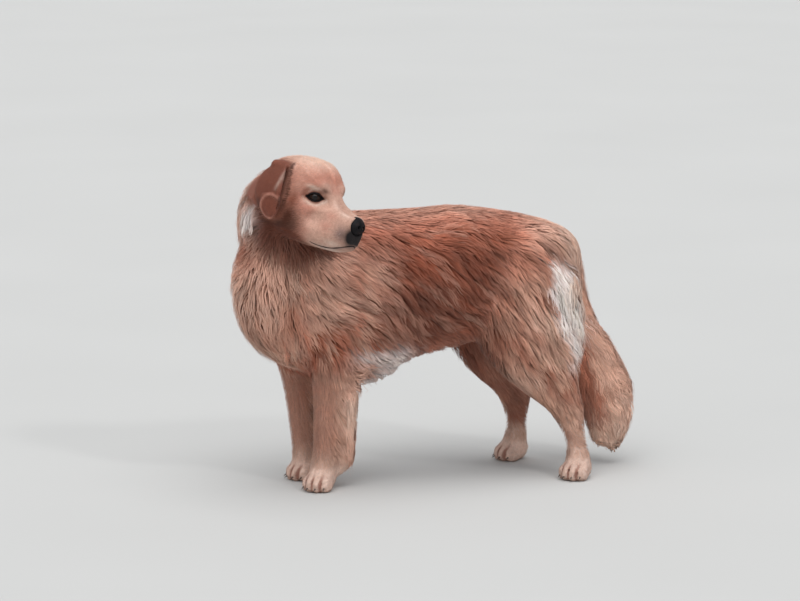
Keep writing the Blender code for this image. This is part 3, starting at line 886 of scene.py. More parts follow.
    # ears: a dark bowl with a paler rim, a painted highlight along the fold, a painted shadow below the lobe
    # and painted shade in the crease before them
    ear = share("ear")
    bowl = np.hypot((hx + 0.065) / 0.026, (hz + 0.05) / 0.024)
    lay("copper", ear, 0.35, hz=(-0.015, 0.0))
    lay("slate", ear, 0.15)
    lay("rust", ear, 0.35)
    lay("umber", ear, 0.34)
    lay("tawny", ear, 0.3, hx=(-0.12, -0.145))
    lay("rust", ear, 0.25, hx=(-0.118, -0.135))
    lay("cream", ear, 0.7, hx=(-0.165, -0.195))
    lay("rust", ear * ramp(bowl, 1.0, 0.4), 0.35)
    lay("tawny", ear * np.exp(-(((bowl - 1.08) / 0.12) ** 2)), 0.6)
    # a painted highlight along the ridge of the ear's fold
    fold = hx + 0.0655 - 0.12 * hz
    lay("cream", ear * np.exp(-((fold / 0.0045) ** 2)), 0.3, hz=(-0.018, -0.006, 0.042, 0.03))
    # a painted shadow below the ear's lobe, on the cheek and neck
    rimmed = ramp(bowl, 1.12, 1.3) * ramp(bowl, 1.95, 1.5)
    rimmed = rimmed * ramp(hz, -0.035, -0.05) * ramp(side, 0.05, 0.06)
    lay("mahogany", share("skull", "ruff", "ear") * rimmed, 0.8)
    # painted shade in the crease where the ear meets the skull
    creaseLevels = [-0.05, -0.032, -0.006, 0.018, 0.045]
    crease = np.abs(hx - np.interp(hz, creaseLevels, [-0.042, -0.044, -0.047, -0.054, -0.062]))
    before = share("ear", "skull") * ramp(crease, 0.0055, 0.0015)
    lay("umber", before, 0.9, side=(0.05, 0.06), hz=(-0.06, -0.035))
    for middle, inner, brow, gaze in eyeFrames.values():
        rel = skinCo - middle
        s, t, out = rel @ inner, rel @ brow, rel @ gaze
        margin = np.where(out > -0.006, marginOf(s, t), 1)
        ring = np.exp(-(((margin - 0.0085) / 0.003) ** 2))
        lay("cream", ring * (t > 0) * ramp(s, 0.012, 0.002) * ramp(s, -0.02, -0.01), 0.6)
        lay("cream", ring * (t < 0), 0.45)
        lay("umber", ramp(margin, 0.005, 0.0024) * face, 0.8)
        lay("leather", ramp(margin, 0.0034, 0.0016))
    tone = 1 + 0.07 * blotch + 0.05 * small
    return np.clip(base * tone[:, None], 0.004, 0.95)


skinTint = markings()


def combing():
    # which way the hair lies at each vertex, along the skin
    x, y, z = skinCo.T
    side = np.sign(y - midline)

    def way(*parts):
        return np.stack([part + 0 * x for part in parts], 1)

    away = unit(skinCo - headOrigin)
    _, hy, hz = skinHead.T
    alongPath = np.gradient(tailCore, axis=0)
    behind = np.clip((np.interp(z, tailCore[:, 2], tailCore[:, 0]) - x) / 0.02, -1, 1)
    tailWay = way(*(np.interp(z, tailCore[:, 2], -v) for v in alongPath.T))
    ways = {
        "muzzle": way(-1, 0.25 * np.sign(hy), -0.25 - 4 * np.maximum(-0.02 - hz, 0)) @ headAxes.T,
        "skull": way(-1, 0.1 * np.sign(hy), 0.2 - 8 * np.abs(hy)) @ headAxes.T,
        "ear": way(-0.25, 0, -1) @ headAxes.T,
        "ruff": away * 0.8 + way(-0.2, 0, -0.9),
        "chest": way(-0.15, 0.1 * side, -1),
        "back": way(-1, 0.25 * side, -0.2),
        "flank": way(-0.75, 0, -0.65),
        "belly": way(-0.6, 0, -0.8),
        "rump": way(-0.45, 0.1 * side, -0.9),
        "foreleg": way(-0.2, 0, -1.0),
        "feather": way(-1.0, 0, -0.55),
        "hindleg": way(-0.5, 0, -0.85),
        "foot": way(0.8, 0.35, -0.6),
        "tail": 0.6 * unit(tailWay) + way(-0.55 - 0.35 * behind, 0, -0.3),
    }
    total = sum(weights[:, i : i + 1] * unit(ways[n]) for i, n in enumerate(regionNames))
    swirl = way(*(drift(skinCo, 0.07, 20 + k) for k in range(3)))
    eddy = way(*(drift(skinCo, 0.03, 30 + k) for k in range(3)))
    loose = np.clip(tabled("length") / 0.05, 0, 1)[:, None]
    total = total + (0.42 * swirl + 0.34 * eddy) * loose
    return unit(total - skinNormals * dot(total, skinNormals))


skinComb = combing()
skinComb = unit(spread(skinComb, skinEdges, 2))
lengths = tabled("length")
x, y, z = skinCo.T
hx, hy, hz = skinHead.T
legFront = legFrontAt(y, z)
for length, amount in (
    (0.055, ramp(x, legFront - 0.035, legFront - 0.058) * share("foreleg") * ramp(z, 0.07, 0.11)),
    (0.05, share("hindleg") * ramp(z, 0.16, 0.3)),
    (0.011, share("hindleg") * ramp(z, 0.16, 0.1)),
    (0.034, share("ear") * ramp(hx, -0.165, -0.2)),
    (0.03, share("skull") * ramp(hx, -0.06, -0.11)),
):
    lengths = mix(lengths, length, amount)
for middle, inner, brow, gaze in eyeFrames.values():
    rel = skinCo - middle
    margin = marginOf(rel @ inner, rel @ brow)
    lengths = lengths * np.where(rel @ gaze > -0.004, mix(0.35, 1.0, ramp(margin, 0.001, 0.018)), 1)
print("skin: regions, markings and the lie of the coat")

skinMesh.calc_loop_triangles()
skinFaces = readOut(skinMesh.loop_triangles, "vertices", 3, np.int32)
a, b, c = (skinCo[skinFaces[:, k]] for k in range(3))
faceAreas = np.linalg.norm(np.cross(b - a, c - a), axis=1) / 2
faceRegion = skinRegion[skinFaces[:, 0]]


def paintTint(mesh, colours):
    layer = mesh.color_attributes.new("tint", "FLOAT_COLOR", "POINT")
    rgba = np.ones((len(colours), 4), np.float32)
    rgba[:, :3] = colours
    layer.data.foreach_set("color", rgba.ravel())


paintTint(skinMesh, skinTint)

# an unwrap of the skin's own shape, for the coat's baked colours
atlas = {
    # left, bottom, width, height of each part's patch
    "body": (0.01, 0.42, 0.6, 0.57),
    "head": (0.63, 0.66, 0.36, 0.33),
    "earOuter": (0.63, 0.42, 0.17, 0.22),
    "earInner": (0.82, 0.42, 0.17, 0.22),
    "foreleg_left": (0.01, 0.01, 0.15, 0.39),
    "foreleg_right": (0.17, 0.01, 0.15, 0.39),
    "hindleg_left": (0.33, 0.01, 0.19, 0.39),
    "hindleg_right": (0.53, 0.01, 0.19, 0.39),
    "tail": (0.73, 0.01, 0.26, 0.39),
}


def placed(patch, u, v):
    left, bottom, width, height = atlas[patch]
    return np.stack([left + width * np.clip(u, 0.01, 0.99), bottom + height * np.clip(v, 0.01, 0.99)], 1)


def turnOf(a, b):
    return np.arctan2(a, b) / (2 * math.pi) + 0.5


def unwrapped(points, region):
    # round each part's own axis one way, and along it the other
    x, y, z = points.T
    hx, hy, hz = toHead(points).T
    names = np.array(regionNames)[region]
    along = np.arctan2(x - 0.04, 3 * np.hypot(y - midline, z - 0.43)) / math.pi + 0.5
    uv = placed("body", turnOf(y - midline, 0.43 - z), along)
    onHead = np.isin(names, ("muzzle", "skull"))
    around = np.hypot(hy, hz + 0.03)
    along = np.arctan2(hx + 0.02, 1.2 * around) / math.pi + 0.5
    uv[onHead] = placed("head", turnOf(hy, -hz - 0.03), along)[onHead]
    across = (hx + 0.15) / 0.12 * 0.48 + np.where(hy > 0, 0.5, 0.01)
    outer = np.abs(hy) > 0.082
    for patch, side in (("earOuter", outer), ("earInner", ~outer)):
        onEar = (names == "ear") & side
        uv[onEar] = placed(patch, across, (hz + 0.09) / 0.16)[onEar]
    for side, beside in (("left", y > midline), ("right", y <= midline)):
        low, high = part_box("forepaw_" + side)
        legs = np.isin(names, ("foreleg", "feather", "foot")) & (x > 0) & beside
        around = turnOf(y - (low.y + high.y) / 2, (low.x + high.x) / 2 - x)
        uv[legs] = placed("foreleg_" + side, around, z / 0.33)[legs]
        low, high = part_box("hindleg_" + side)
        middle = np.interp(z, [0, 0.15, 0.35, 0.5], [low.x + 0.05, low.x + 0.06, low.x + 0.15, low.x + 0.15])
        legs = np.isin(names, ("hindleg", "foot")) & (x <= 0) & beside
        around = turnOf(np.abs(y - midline) - np.interp(z, [0, 0.15, 0.35], [0.115, 0.1, 0.085]), middle - x)
        uv[legs] = placed("hindleg_" + side, around, z / 0.5)[legs]
    onTail = names == "tail"
    cx = np.interp(z, tailCore[:, 2], tailCore[:, 0])
    cy = np.interp(z, tailCore[:, 2], tailCore[:, 1])
    uv[onTail] = placed("tail", turnOf(y - cy, x - cx), z / 0.56)[onTail]
    return uv


# the coat
coatStyle = dict(
    root=-0.001, thick=0.17, facing=0.35, clump=0.3, clumpGap=3.2, droop=0.32, patch=0.003,
    # how high in the coat the locks run: 0 on the skin, 1 at the coat's outside
    outerShare=0.8, outerHeight=0.94, innerHeight=(0.7, 0.9), topHeight=1.04, leastDepth=0.0012,
    strayShare=0.035, strayHeight=1.12, strayLength=1.25, strayWidth=0.5,
    waveLength=0.066, tressWidth=0.013, tressRun=3.2, tressGather=0.35, tressRound=0.55, tressDip=0.12,
    # rootShade and tressShade are painted shade: locks darker toward the root, deep in the coat, and in the
    # valleys between tresses
    rootShade=(0.86, 0.77, 0.72), tipPale=0.09, toneSpread=0.05, clumpTone=0.09, tressTone=0.1,
    tressShade=0.16, tailWidth=1.5, draftGap=2.0, draftWidth=1.6,
)


def scatter(region, gap, rng, side):
    # points spread evenly over one region: no two share a cell of the size of the gap
    chosen = faceRegion == regionNames.index(region)
    if side:
        chosen &= (skinCo[skinFaces[:, 0], 1] > midline) == (side == "left")
    chosen = np.flatnonzero(chosen)
    area = faceAreas[chosen]
    count = int(area.sum() / gap**2 * 3.0)
    face = chosen[rng.choice(len(chosen), count, p=area / area.sum())]
    a, b = rng.random(count), rng.random(count)
    over = a + b > 1
    a[over], b[over] = 1 - a[over], 1 - b[over]
    bary = np.stack([1 - a - b, a, b], 1)
    points = (skinCo[skinFaces[face]] * bary[:, :, None]).sum(1)
    cell = np.floor(points / (gap * 1.12)).astype(np.int64)
    key = cell[:, 0] * 4000037 + cell[:, 1] * 2003 + cell[:, 2]
    _, first = np.unique(key, return_index=True)
    return face[first], bary[first]


def clearOfEyes(points):
    keep = np.ones(len(points), bool)
    for middle, inner, brow, gaze in eyeFrames.values():
        rel = points - middle
        shut = (marginOf(rel @ inner, rel @ brow) < 0.0022) & (rel @ gaze > -0.002)
        keep &= ~(shut & (np.linalg.norm(rel, axis=1) < 0.03))
    h = toHead(points)
    besideMouth = np.abs(h[:, 2] - np.interp(h[:, 0], *mouthRun)) < 0.0022
    keep &= ~(besideMouth & (h[:, 0] > mouthLine[0, 0]) & (h[:, 2] > -0.11))
    onNose = np.linalg.norm((h - (0.0975, 0, -0.031)) / (0.0185, 0.0215, 0.02), axis=1) < 1.0
    return keep & ~onNose


def tresses(roots, normals, comb, rng):
    # the locks part into long tresses: which one each is in, and how far it lies from the middle of it
    flow = unit(comb.mean(0))
    squeezed = roots - flow * (roots @ flow)[:, None] * (1 - 1 / coatStyle["tressRun"])
    cell = np.floor(squeezed / (1.7 * coatStyle["tressWidth"]) + rng.random(3)).astype(np.int64)
    order = rng.permutation(len(roots))
    _, first = np.unique(cell[order], axis=0, return_index=True)
    tree = kdtree.KDTree(len(first))
    for i in order[first].tolist():
        tree.insert(squeezed[i], i)
    tree.balance()
    tress = np.array([tree.find(p)[1] for p in squeezed.tolist()])
    aside = roots - roots[tress]
    aside = aside - comb * dot(aside, comb) - normals * dot(aside, normals)
    return tress, aside


def grow(roots, normals, comb, length, lift, wave, aside, rings, rng):
    # each lock's midline climbs from the skin to its own height in the coat, then runs along the outline
    count = len(roots)
    leaders = kdtree.KDTree(count)
    share = max(1, int(coatStyle["clumpGap"] ** 2))
    for i in rng.choice(count, max(1, count // share), replace=False).tolist():
        leaders.insert(roots[i], i)
    leaders.balance()
    own = np.array([leaders.find(p)[1] for p in roots.tolist()])
    soft = np.clip(length / 0.05, 0, 1)
    way = unit(comb * np.cos(lift)[:, None] + normals * np.sin(lift)[:, None])
    at = roots + normals * coatStyle["root"]
    path = [at]
    depth = np.maximum(-coatLook(roots)[0], coatStyle["leastDepth"])
    outer = rng.random(count) < coatStyle["outerShare"]
    stray = rng.random(count) < coatStyle["strayShare"] * soft
    high = rng.normal(coatStyle["outerHeight"], 0.03, count)
    height = np.where(outer, high, rng.uniform(*coatStyle["innerHeight"], count))
    ridge = np.clip(np.linalg.norm(aside, axis=1) / coatStyle["tressWidth"], 0, 1) ** 2
    height = height + (rng.normal(0, 0.03, count)[own] - coatStyle["tressDip"] * ridge) * soft
    height = np.where(stray, coatStyle["strayHeight"], np.minimum(height, coatStyle["topHeight"]))
    length = length * np.where(stray, coatStyle["strayLength"], 1.0)
    step = (length / rings)[:, None]
    fall = np.array([0, 0, -1.0]) * coatStyle["droop"]
    for k in range(rings):
        s = (k + 1) / rings
        way = unit(way + (comb + fall * soft[:, None]) * (0.25 + 0.4 * s))
        new = at + way * step
        goal = -depth * (1 - height * np.clip(s / 0.7, 0, 1) ** 0.8)
        outside, slope = coatLook(new)
        off = np.clip(outside - goal, -0.7 * step[:, 0], 1.2 * step[:, 0])
        new = new - slope * off[:, None]
        way = unit(new - at)
        at = at + way * step
        path.append(at)
    path = np.stack(path, 1)
    s = np.linspace(0, 1, rings + 1)[None, :, None]
    gather = coatStyle["clump"] * s**1.3 * np.clip(length / 0.04, 0.1, 1)[:, None, None]
    gather = gather * np.where(stray, 0.2, 1.0)[:, None, None]
    path = path + (path[own] - path) * gather
    path = path - aside[:, None] * s**1.3 * (coatStyle["tressGather"] * soft)[:, None, None]
    across = unit(np.cross(comb, normals))[:, None, :]
    phase = 2 * math.pi * drift(roots, 0.06, 40) + rng.normal(0, 0.5, count)[own]
    phase = phase + rng.normal(0, 0.25, count)
    turns = (length / coatStyle["waveLength"])[:, None]
    swing = np.sin(2 * math.pi * turns * s[:, :, 0] + phase[:, None]) * wave[:, None] * s[:, :, 0] ** 0.8
    return path + across * swing[:, :, None], own, stray


def locksMesh(name, path, width, shade, uvRoot, smooth, bulge, rng):
    # a closed tapering lock along each path: three sides and a point
    count, rings, _ = path.shape
    rings -= 1
    along = unit(np.gradient(path, axis=1))
    out = coatLook(path[:, :rings].reshape(-1, 3))[1].reshape(count, rings, 3)
    side = unit(np.cross(along[:, :rings], out))
    rise = unit(np.cross(side, along[:, :rings]))
    s = np.linspace(0, 1, rings + 1)[:rings]
    profile = np.interp(s, [0, 0.25, 0.6, 1], [0.6, 1.0, 0.75, 0.24])[None, :, None]
    half = 0.5 * width[:, None, None] * profile
    spine = path[:, :rings]
    left = spine - side * half
    beside = spine + side * half
    top = spine + rise * half * 2 * coatStyle["thick"]
    ringPoints = np.stack([left, beside, top], 2)
    ringNormals = np.stack([-side * 0.7 + rise * 0.6, side * 0.7 + rise * 0.6, rise], 2)
    out = unit(out + bulge[:, None])
    lean = np.stack([out, out, out], 2)
    per = rings * 3 + 1
    points = np.concatenate([ringPoints.reshape(count, rings * 3, 3), path[:, rings:]], 1)
    normal = unit(mix(unit(ringNormals), lean, smooth)).reshape(count, rings * 3, 3)
    normal = np.concatenate([normal, out[:, -1:]], 1)
    faces = [[0, 2, 1]]
    for k in range(rings - 1):
        a, b = 3 * k, 3 * k + 3
        for i, j in ((0, 1), (1, 2), (2, 0)):
            faces.append([a + i, a + j, b + j])
            faces.append([a + i, b + j, b + i])
    a = 3 * (rings - 1)
    faces.extend([[a, a + 1, per - 1], [a + 1, a + 2, per - 1], [a + 2, a, per - 1]])
    faces = np.array(faces)[:, ::-1]
    index = np.arange(count)[:, None, None] * per
    allFaces = (faces[None] + index).reshape(-1, 3)
    mesh = meshOf(name, points.reshape(-1, 3), allFaces)
    a, b, c = (points[:, faces[:, k]] for k in range(3))
    flat = unit(np.cross(b - a, c - a))[:, :, None]
    perCorner = normal[:, faces]
    short = np.maximum(coatStyle["facing"] - (perCorner * flat).sum(-1, keepdims=True), 0)
    perCorner = unit(perCorner + flat * short * 1.4)
    mesh.normals_split_custom_set(perCorner.reshape(-1, 3).astype(np.float32))
    ringShare = np.append(np.repeat(s, 3), 1.0)
    paintTint(mesh, shade(ringShare).reshape(-1, 3))
    cornerAcross = np.append(np.tile([0.0, 1.0, 0.5], rings), 0.5)
    local = np.stack([cornerAcross - 0.5, ringShare - 0.5], 1)
    patchUv = uvRoot[:, None, :] + local[None] * coatStyle["patch"]
    strand = cornerAcross[None] + rng.integers(0, 400, count)[:, None] * 3.0
    strandUv = np.stack([strand, ringShare[None] + 0 * strand], 2)
    for layerName, uv in (("OFBake", patchUv), ("strand", strandUv)):
        layer = mesh.uv_layers.new(name=layerName)
        layer.data.foreach_set("uv", uv.reshape(-1, 2)[allFaces.ravel()].astype(np.float32).ravel())
    return mesh


def coatPiece(region, seed, side=""):
    style = regionStyle[region]
    rng = np.random.default_rng(seed)
    gap = style["gap"] * 1.0
    face, bary = scatter(region, gap, rng, side)

    def carried(values):
        return (values[skinFaces[face]] * bary[:, :, None]).sum(1)

    roots = carried(skinCo)
    keep = clearOfEyes(roots)
    face, bary = face[keep], bary[keep]
    roots = carried(skinCo)
    normals = unit(carried(skinNormals))
    comb = carried(skinComb)
    comb = unit(comb - normals * dot(comb, normals))
    count = len(roots)

    def varied(values, low, high):
        return carried(values[:, None])[:, 0] * rng.uniform(low, high, count)

    length = varied(lengths, 0.72, 1.18)
    lift = varied(tabled("lift"), 0.5, 1.4)
    wave = varied(tabled("wave"), 0.5, 1.3)
    width = varied(tabled("width"), 0.7, 1.25) * 1.0
    tress, aside = tresses(roots, normals, comb, rng)
    path, own, stray = grow(roots, normals, comb, length, lift, wave, aside, style["rings"], rng)
    width = width * np.where(stray, coatStyle["strayWidth"], 1.0)
    width = width * (coatStyle["tailWidth"] if region == "tail" else 1.0) ** ramp(roots[:, 2], 0.28, 0.14)
    base = carried(skinTint)
    soft = np.clip(length / 0.045, 0.2, 1)
    tone = coatStyle["toneSpread"] * rng.normal(0, 1, count)
    tone = tone + coatStyle["clumpTone"] * rng.normal(0, 1, count)[own] * soft
    base = base * np.clip(1 + tone, 0.62, 1.4)[:, None]
    bulge = aside / coatStyle["tressWidth"]
    bulge = bulge / np.maximum(np.linalg.norm(bulge, axis=1), 1)[:, None]
    valley = np.linalg.norm(bulge, axis=1) ** 2 * soft
    # each tress takes its own tone at random, and locks toward its edge are painted darker: painted shade in
    # the valleys between tresses; the fawn streaks keep off those valleys
    tone = coatStyle["tressTone"] * rng.normal(0, 1, count)[tress] * soft - coatStyle["tressShade"] * valley
    base = base * (1 + tone)[:, None]
    pick = rng.random(count)[tress] * soft
    base = mix(base, tints["fawn"], (0.25 * ramp(pick, 0.7, 0.9) * (1 - valley))[:, None])
    bulge = bulge * (coatStyle["tressRound"] * soft)[:, None]
    # each lock is painted darker toward its root, less so on pale hair: painted shade deep in the coat
    deep = mix(1.0, np.array(coatStyle["rootShade"]), (soft * ramp(base[:, 2], 0.75, 0.5))[:, None])

    def shade(s):
        pale = np.clip(mix(base * 1.12, tints["cream"], coatStyle["tipPale"] * soft[:, None]), 0, 0.92)
        t = ramp(s, 0.0, 0.6)[None, :, None]
        u = ramp(s, 0.55, 1.0)[None, :, None]
        return mix(mix((base * deep)[:, None], base[:, None], t), pale[:, None], u * 0.8)

    uv = unwrapped(roots, np.full(count, regionNames.index(region)))
    name = "coat." + region + ("." + side if side else "")
    mesh = locksMesh(name, path, width, shade, uv, style["blend"], bulge, rng)
    piece = objectOf(name, mesh)
    mesh.materials.append(hairPaint)
    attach(piece, "root")
    print("coat:", name, count, "locks,", len(mesh.polygons), "triangles")
    return piece


# shader maths and the finishes
def operation(name, swapped=False):
    def work(self, other):
        first, second = (other, self) if swapped else (self, other)
        return self.paint.node("ShaderNodeMath", {"operation": name}, {0: first, 1: second})

    return work


class Signal:
    # a socket that can be used in plain arithmetic; each operation adds its Math node
    def __init__(self, paint, socket):
        self.paint = paint
        self.socket = socket

    __add__ = __radd__ = operation("ADD")
    __sub__ = operation("SUBTRACT")
    __rsub__ = operation("SUBTRACT", swapped=True)
    __mul__ = __rmul__ = operation("MULTIPLY")
    __pow__ = operation("POWER")


class Paint:
    def __init__(self, name, **fixed):
        self.material = bpy.data.materials.new(name)
        self.material.use_nodes = True
        self.tree = self.material.node_tree
        self.shader = self.tree.nodes["Principled BSDF"]
        for socket, value in fixed.items():
            self.shader.inputs[socket.replace("_", " ")].default_value = value

    def node(self, kind, settings=None, values=None, out=0):
        made = self.tree.nodes.new(kind)
        for key, value in (settings or {}).items():
            if key == "stops":
                elements = made.color_ramp.elements
                while len(elements) < len(value):
                    elements.new(0.5)
                for element, (place, colour) in zip(elements, value):
                    element.position = place
                    element.color = (*colour, 1)
            else:
                setattr(made, key, value)
        for key, value in (values or {}).items():
            self.give(made.inputs[key], value)
        return Signal(self, made.outputs[out])

    def give(self, socket, value):
        if isinstance(value, Signal):
            self.tree.links.new(value.socket, socket)
        else:
            socket.default_value = value

    def blend(self, amount, first, second, mode="MIX"):
        settings = {"data_type": "RGBA", "blend_type": mode}
        return self.node("ShaderNodeMix", settings, {0: amount, 6: first, 7: second}, out=2)

    def times(self, tint, colour):
        return self.blend(1.0, tint, (*colour, 1), "MULTIPLY")

    def stretch(self, value, low, high):
        return self.node("ShaderNodeMapRange", None, {0: value, 1: low, 2: high})

    def attribute(self, name, out=0):
        return self.node("ShaderNodeAttribute", {"attribute_name": name}, out=out)

    def place(self):
        return self.node("ShaderNodeTexCoord", out=3)

    def noise(self, vector, scale, detail=3.0, rough=0.5):
        values = {"Vector": vector, "Scale": scale, "Detail": detail, "Roughness": rough}
        return self.node("ShaderNodeTexNoise", None, values)

    def bump(self, height, distance, strength=1.0):
        values = {"Height": height, "Distance": distance, "Strength": strength}
        return self.node("ShaderNodeBump", None, values)

    def feed(self, **links):
        for socket, signal in links.items():
            self.give(self.shader.inputs[socket.replace("_", " ")], signal)
        return self.material


def hairFinish():
    # every lock shows the strands that it is made of, running from its root to its tip
    paint = Paint("coat_hair", IOR=1.5, Sheen_Weight=0.05, Sheen_Roughness=0.5, Specular_IOR_Level=0.2)
    tint = paint.attribute("tint")
    uv = paint.node("ShaderNodeUVMap", {"uv_map": "strand"})
    stretched = paint.node("ShaderNodeVectorMath", {"operation": "MULTIPLY"}, {0: uv, 1: (4.0, 1.1, 1.0)})
    strands = paint.noise(stretched, 1.0, 3.0, 0.65)
    cast = paint.noise(paint.place(), 38.0, 2.0)
    dark = paint.times(tint, (0.72, 0.66, 0.61))
    light = paint.times(tint, (1.22, 1.19, 1.15))
    colour = paint.blend(paint.stretch(strands, 0.34, 0.66), dark, light)
    colour = paint.blend(cast, colour, paint.times(colour, (1.06, 0.97, 0.88)))
    normal = paint.bump(strands, 0.0006, 0.35)
    return paint.feed(Base_Color=colour, Roughness=0.44 + 0.22 * strands, Normal=normal)


def skinFinish():
    # the skin wears the coat's own colours, with short flat hair as fine relief
    paint = Paint("coat_skin", Sheen_Weight=0.05, Sheen_Roughness=0.5, Specular_IOR_Level=0.2)
    tint = paint.attribute("tint")
    place = paint.place()
    nap = paint.noise(place, 520.0, 2.0, 0.6)
    tufts = paint.noise(place, 150.0, 3.0, 0.6)
    shade = paint.stretch(nap * 0.5 + tufts * 0.5, 0.36, 0.64)
    colour = paint.blend(shade, paint.times(tint, (0.78, 0.73, 0.69)), paint.times(tint, (1.1, 1.09, 1.07)))
    return paint.feed(Base_Color=colour, Roughness=0.5 + 0.25 * tufts, Normal=paint.bump(shade, 0.0008, 0.5))


def leatherFinish():
    # the nose, lips and lid rims: fine pebbles, moist and nearly black, with a pink fleck on the lip
    paint = Paint("nose_leather", Specular_IOR_Level=0.14)
    place = paint.place()
    cells = paint.node("ShaderNodeTexVoronoi", {"feature": "F1"}, {"Vector": place, "Scale": 620.0})
    grain = paint.noise(place, 90.0, 3.0)
    colour = paint.blend(grain, (0.004, 0.003, 0.004, 1), (0.011, 0.009, 0.011, 1))
    worn = paint.stretch(paint.noise(place, 30.0, 2.0), 0.62, 0.72)
    colour = paint.blend(worn * 0.25, colour, (0.1, 0.055, 0.052, 1))
    normal = paint.bump(cells, 0.00035, 0.6)
    return paint.feed(Base_Color=colour, Roughness=0.5 + 0.25 * grain, Normal=normal)


def eyeFinish():
    # rings from the pupil out: pupil, brown iris with fine spokes, dark limbus, hidden white
    paint = Paint("eye_wet", Specular_IOR_Level=0.28)
    ring = paint.attribute("ring", 2)
    spoke = paint.attribute("spoke", 1)
    stops = [
        (0.0, (0.004, 0.003, 0.003)),
        (0.115, (0.004, 0.003, 0.003)),
        (0.135, (0.012, 0.005, 0.003)),
        (0.22, (0.022, 0.009, 0.004)),
        (0.255, (0.008, 0.004, 0.003)),
        (0.3, (0.045, 0.03, 0.025)),
    ]
    rings = paint.node("ShaderNodeValToRGB", {"stops": stops}, {0: ring})
    fibres = paint.noise(spoke, 14.0, 3.0, 0.7)
    colour = paint.blend(fibres * 0.7, rings, (0.012, 0.006, 0.004, 1))
    return paint.feed(Base_Color=colour, Roughness=0.06 + 0.06 * fibres)


def hornFinish(name, dark, light):
    paint = Paint(name, Specular_IOR_Level=0.5)
    place = paint.place()
    layers = paint.noise(place, 240.0, 3.0)
    colour = paint.blend(layers, (*dark, 1), (*light, 1))
    normal = paint.bump(layers, 0.0003, 0.4)
    return paint.feed(Base_Color=colour, Roughness=0.3 + 0.25 * layers, Normal=normal)


def floorFinish():
    paint = Paint("studio_floor", Specular_IOR_Level=0.2)
    soft = paint.noise(paint.place(), 1.2, 2.0)
    colour = paint.blend(soft, (0.52, 0.52, 0.51, 1), (0.55, 0.55, 0.54, 1))
    return paint.feed(Base_Color=colour, Roughness=0.8 + 0.1 * soft)


hairPaint = hairFinish()
leatherPaint = leatherFinish()
eyePaint = eyeFinish()
clawPaint = hornFinish("claw_horn", (0.035, 0.024, 0.02), (0.14, 0.095, 0.075))
whiskerPaint = hornFinish("whisker_hair", (0.25, 0.16, 0.11), (0.55, 0.42, 0.32))
skinMesh.materials.clear()
skinMesh.materials.append(skinFinish())


# eyes, lid rims, nose, lips
def gridFaces(rows, columns, wrapRows=False):
    # quads of a grid whose columns close up, and whose rows do too if asked
    faces = []
    for i in range(rows if wrapRows else rows - 1):
        a, b = i * columns, (i + 1) % rows * columns
        for j in range(columns):
            k = (j + 1) % columns
            faces.append([a + j, a + k, b + k, b + j])
    return np.array(faces)


def welded(work):
    bmesh.ops.remove_doubles(work, verts=work.verts, dist=1e-6)
    bmesh.ops.recalc_face_normals(work, faces=work.faces)


def fillEnds(work):
    bmesh.ops.holes_fill(work, edges=[e for e in work.edges if e.is_boundary])


def addValues(mesh, name, values):
    values = np.array(values, np.float32)
    kind, key = ("FLOAT", "value") if values.ndim == 1 else ("FLOAT_VECTOR", "vector")
    mesh.attributes.new(name, kind, "POINT").data.foreach_set(key, values.ravel())


def finished(name, mesh, slot, *replaced):
    worked(mesh, welded)
    mesh.update()
    piece = objectOf(name, mesh)
    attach(piece, "root")
    if replaced:
        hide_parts(*replaced)
    return piece


def eyeball(name, side, node):
    style = eyeStyle
    middle, inner, brow, gaze = eyeFrames[side]
    points, ring, spoke = [], [], []
    for i in range(style["rows"] + 1):
        theta = math.pi * i / style["rows"]
        r = style["ball"] + style["bulge"] * math.exp(-((theta / style["bulgeWidth"]) ** 4))
        flat = math.sin(theta) * r
        for j in range(style["columns"]):
            phi = 2 * math.pi * j / style["columns"]
            around = inner * flat * math.cos(phi) + brow * flat * math.sin(phi)
            points.append(middle + around + gaze * r * math.cos(theta))
            ring.append(theta / math.pi)
            spoke.append((math.cos(phi), math.sin(phi), theta * 0.2))
    mesh = meshOf(name, np.array(points), gridFaces(style["rows"] + 1, style["columns"]))
    addValues(mesh, "ring", ring)
    addValues(mesh, "spoke", spoke)
    mesh.materials.append(eyePaint)
    return finished(name, mesh, "eye", node)


def tube(name, path, radii, sides, closed, paint, slot):
    along = unit(np.roll(path, -1, 0) - np.roll(path, 1, 0) if closed else np.gradient(path, axis=0))
    reference = unit(path.mean(0) - headOrigin + 1e-4)
    sideways = unit(np.cross(along, reference))
    outward = unit(np.cross(sideways, along))
    turn = (np.arange(sides) / sides * 2 * math.pi)[None, :, None]
    spin = sideways[:, None] * np.cos(turn) + outward[:, None] * np.sin(turn)
    points = (path[:, None] + spin * np.asarray(radii)[:, None, None]).reshape(-1, 3)
    mesh = meshOf(name, points, gridFaces(len(path), sides, wrapRows=closed))
    if not closed:
        worked(mesh, fillEnds)
    mesh.materials.append(paint)
    return finished(name, mesh, slot)


def lidRim(name, side):
    middle, inner, brow, gaze = eyeFrames[side]
    half = eyeStyle["halfLength"]
    around = np.linspace(0, 2 * math.pi, 72, endpoint=False)
    s = np.cos(around) * half * 0.985
    t = np.where(np.sin(around) >= 0, opening(s, "upper"), -opening(s, "lower"))
    out = lidSurface(np.hypot(s, t)) + 0.0001
    path = middle + s[:, None] * inner + t[:, None] * brow + out[:, None] * gaze
    radii = eyeStyle["rim"] * np.where(np.sin(around) >= 0, 1.0, 0.75)
    return tube(name, path, radii, 8, True, leatherPaint, "nose")


eyeball("eye.left", 1, "eye_left")
eyeball("eye.right", -1, "eye_right")
lidRim("eyelidRim.left", 1)
lidRim("eyelidRim.right", -1)

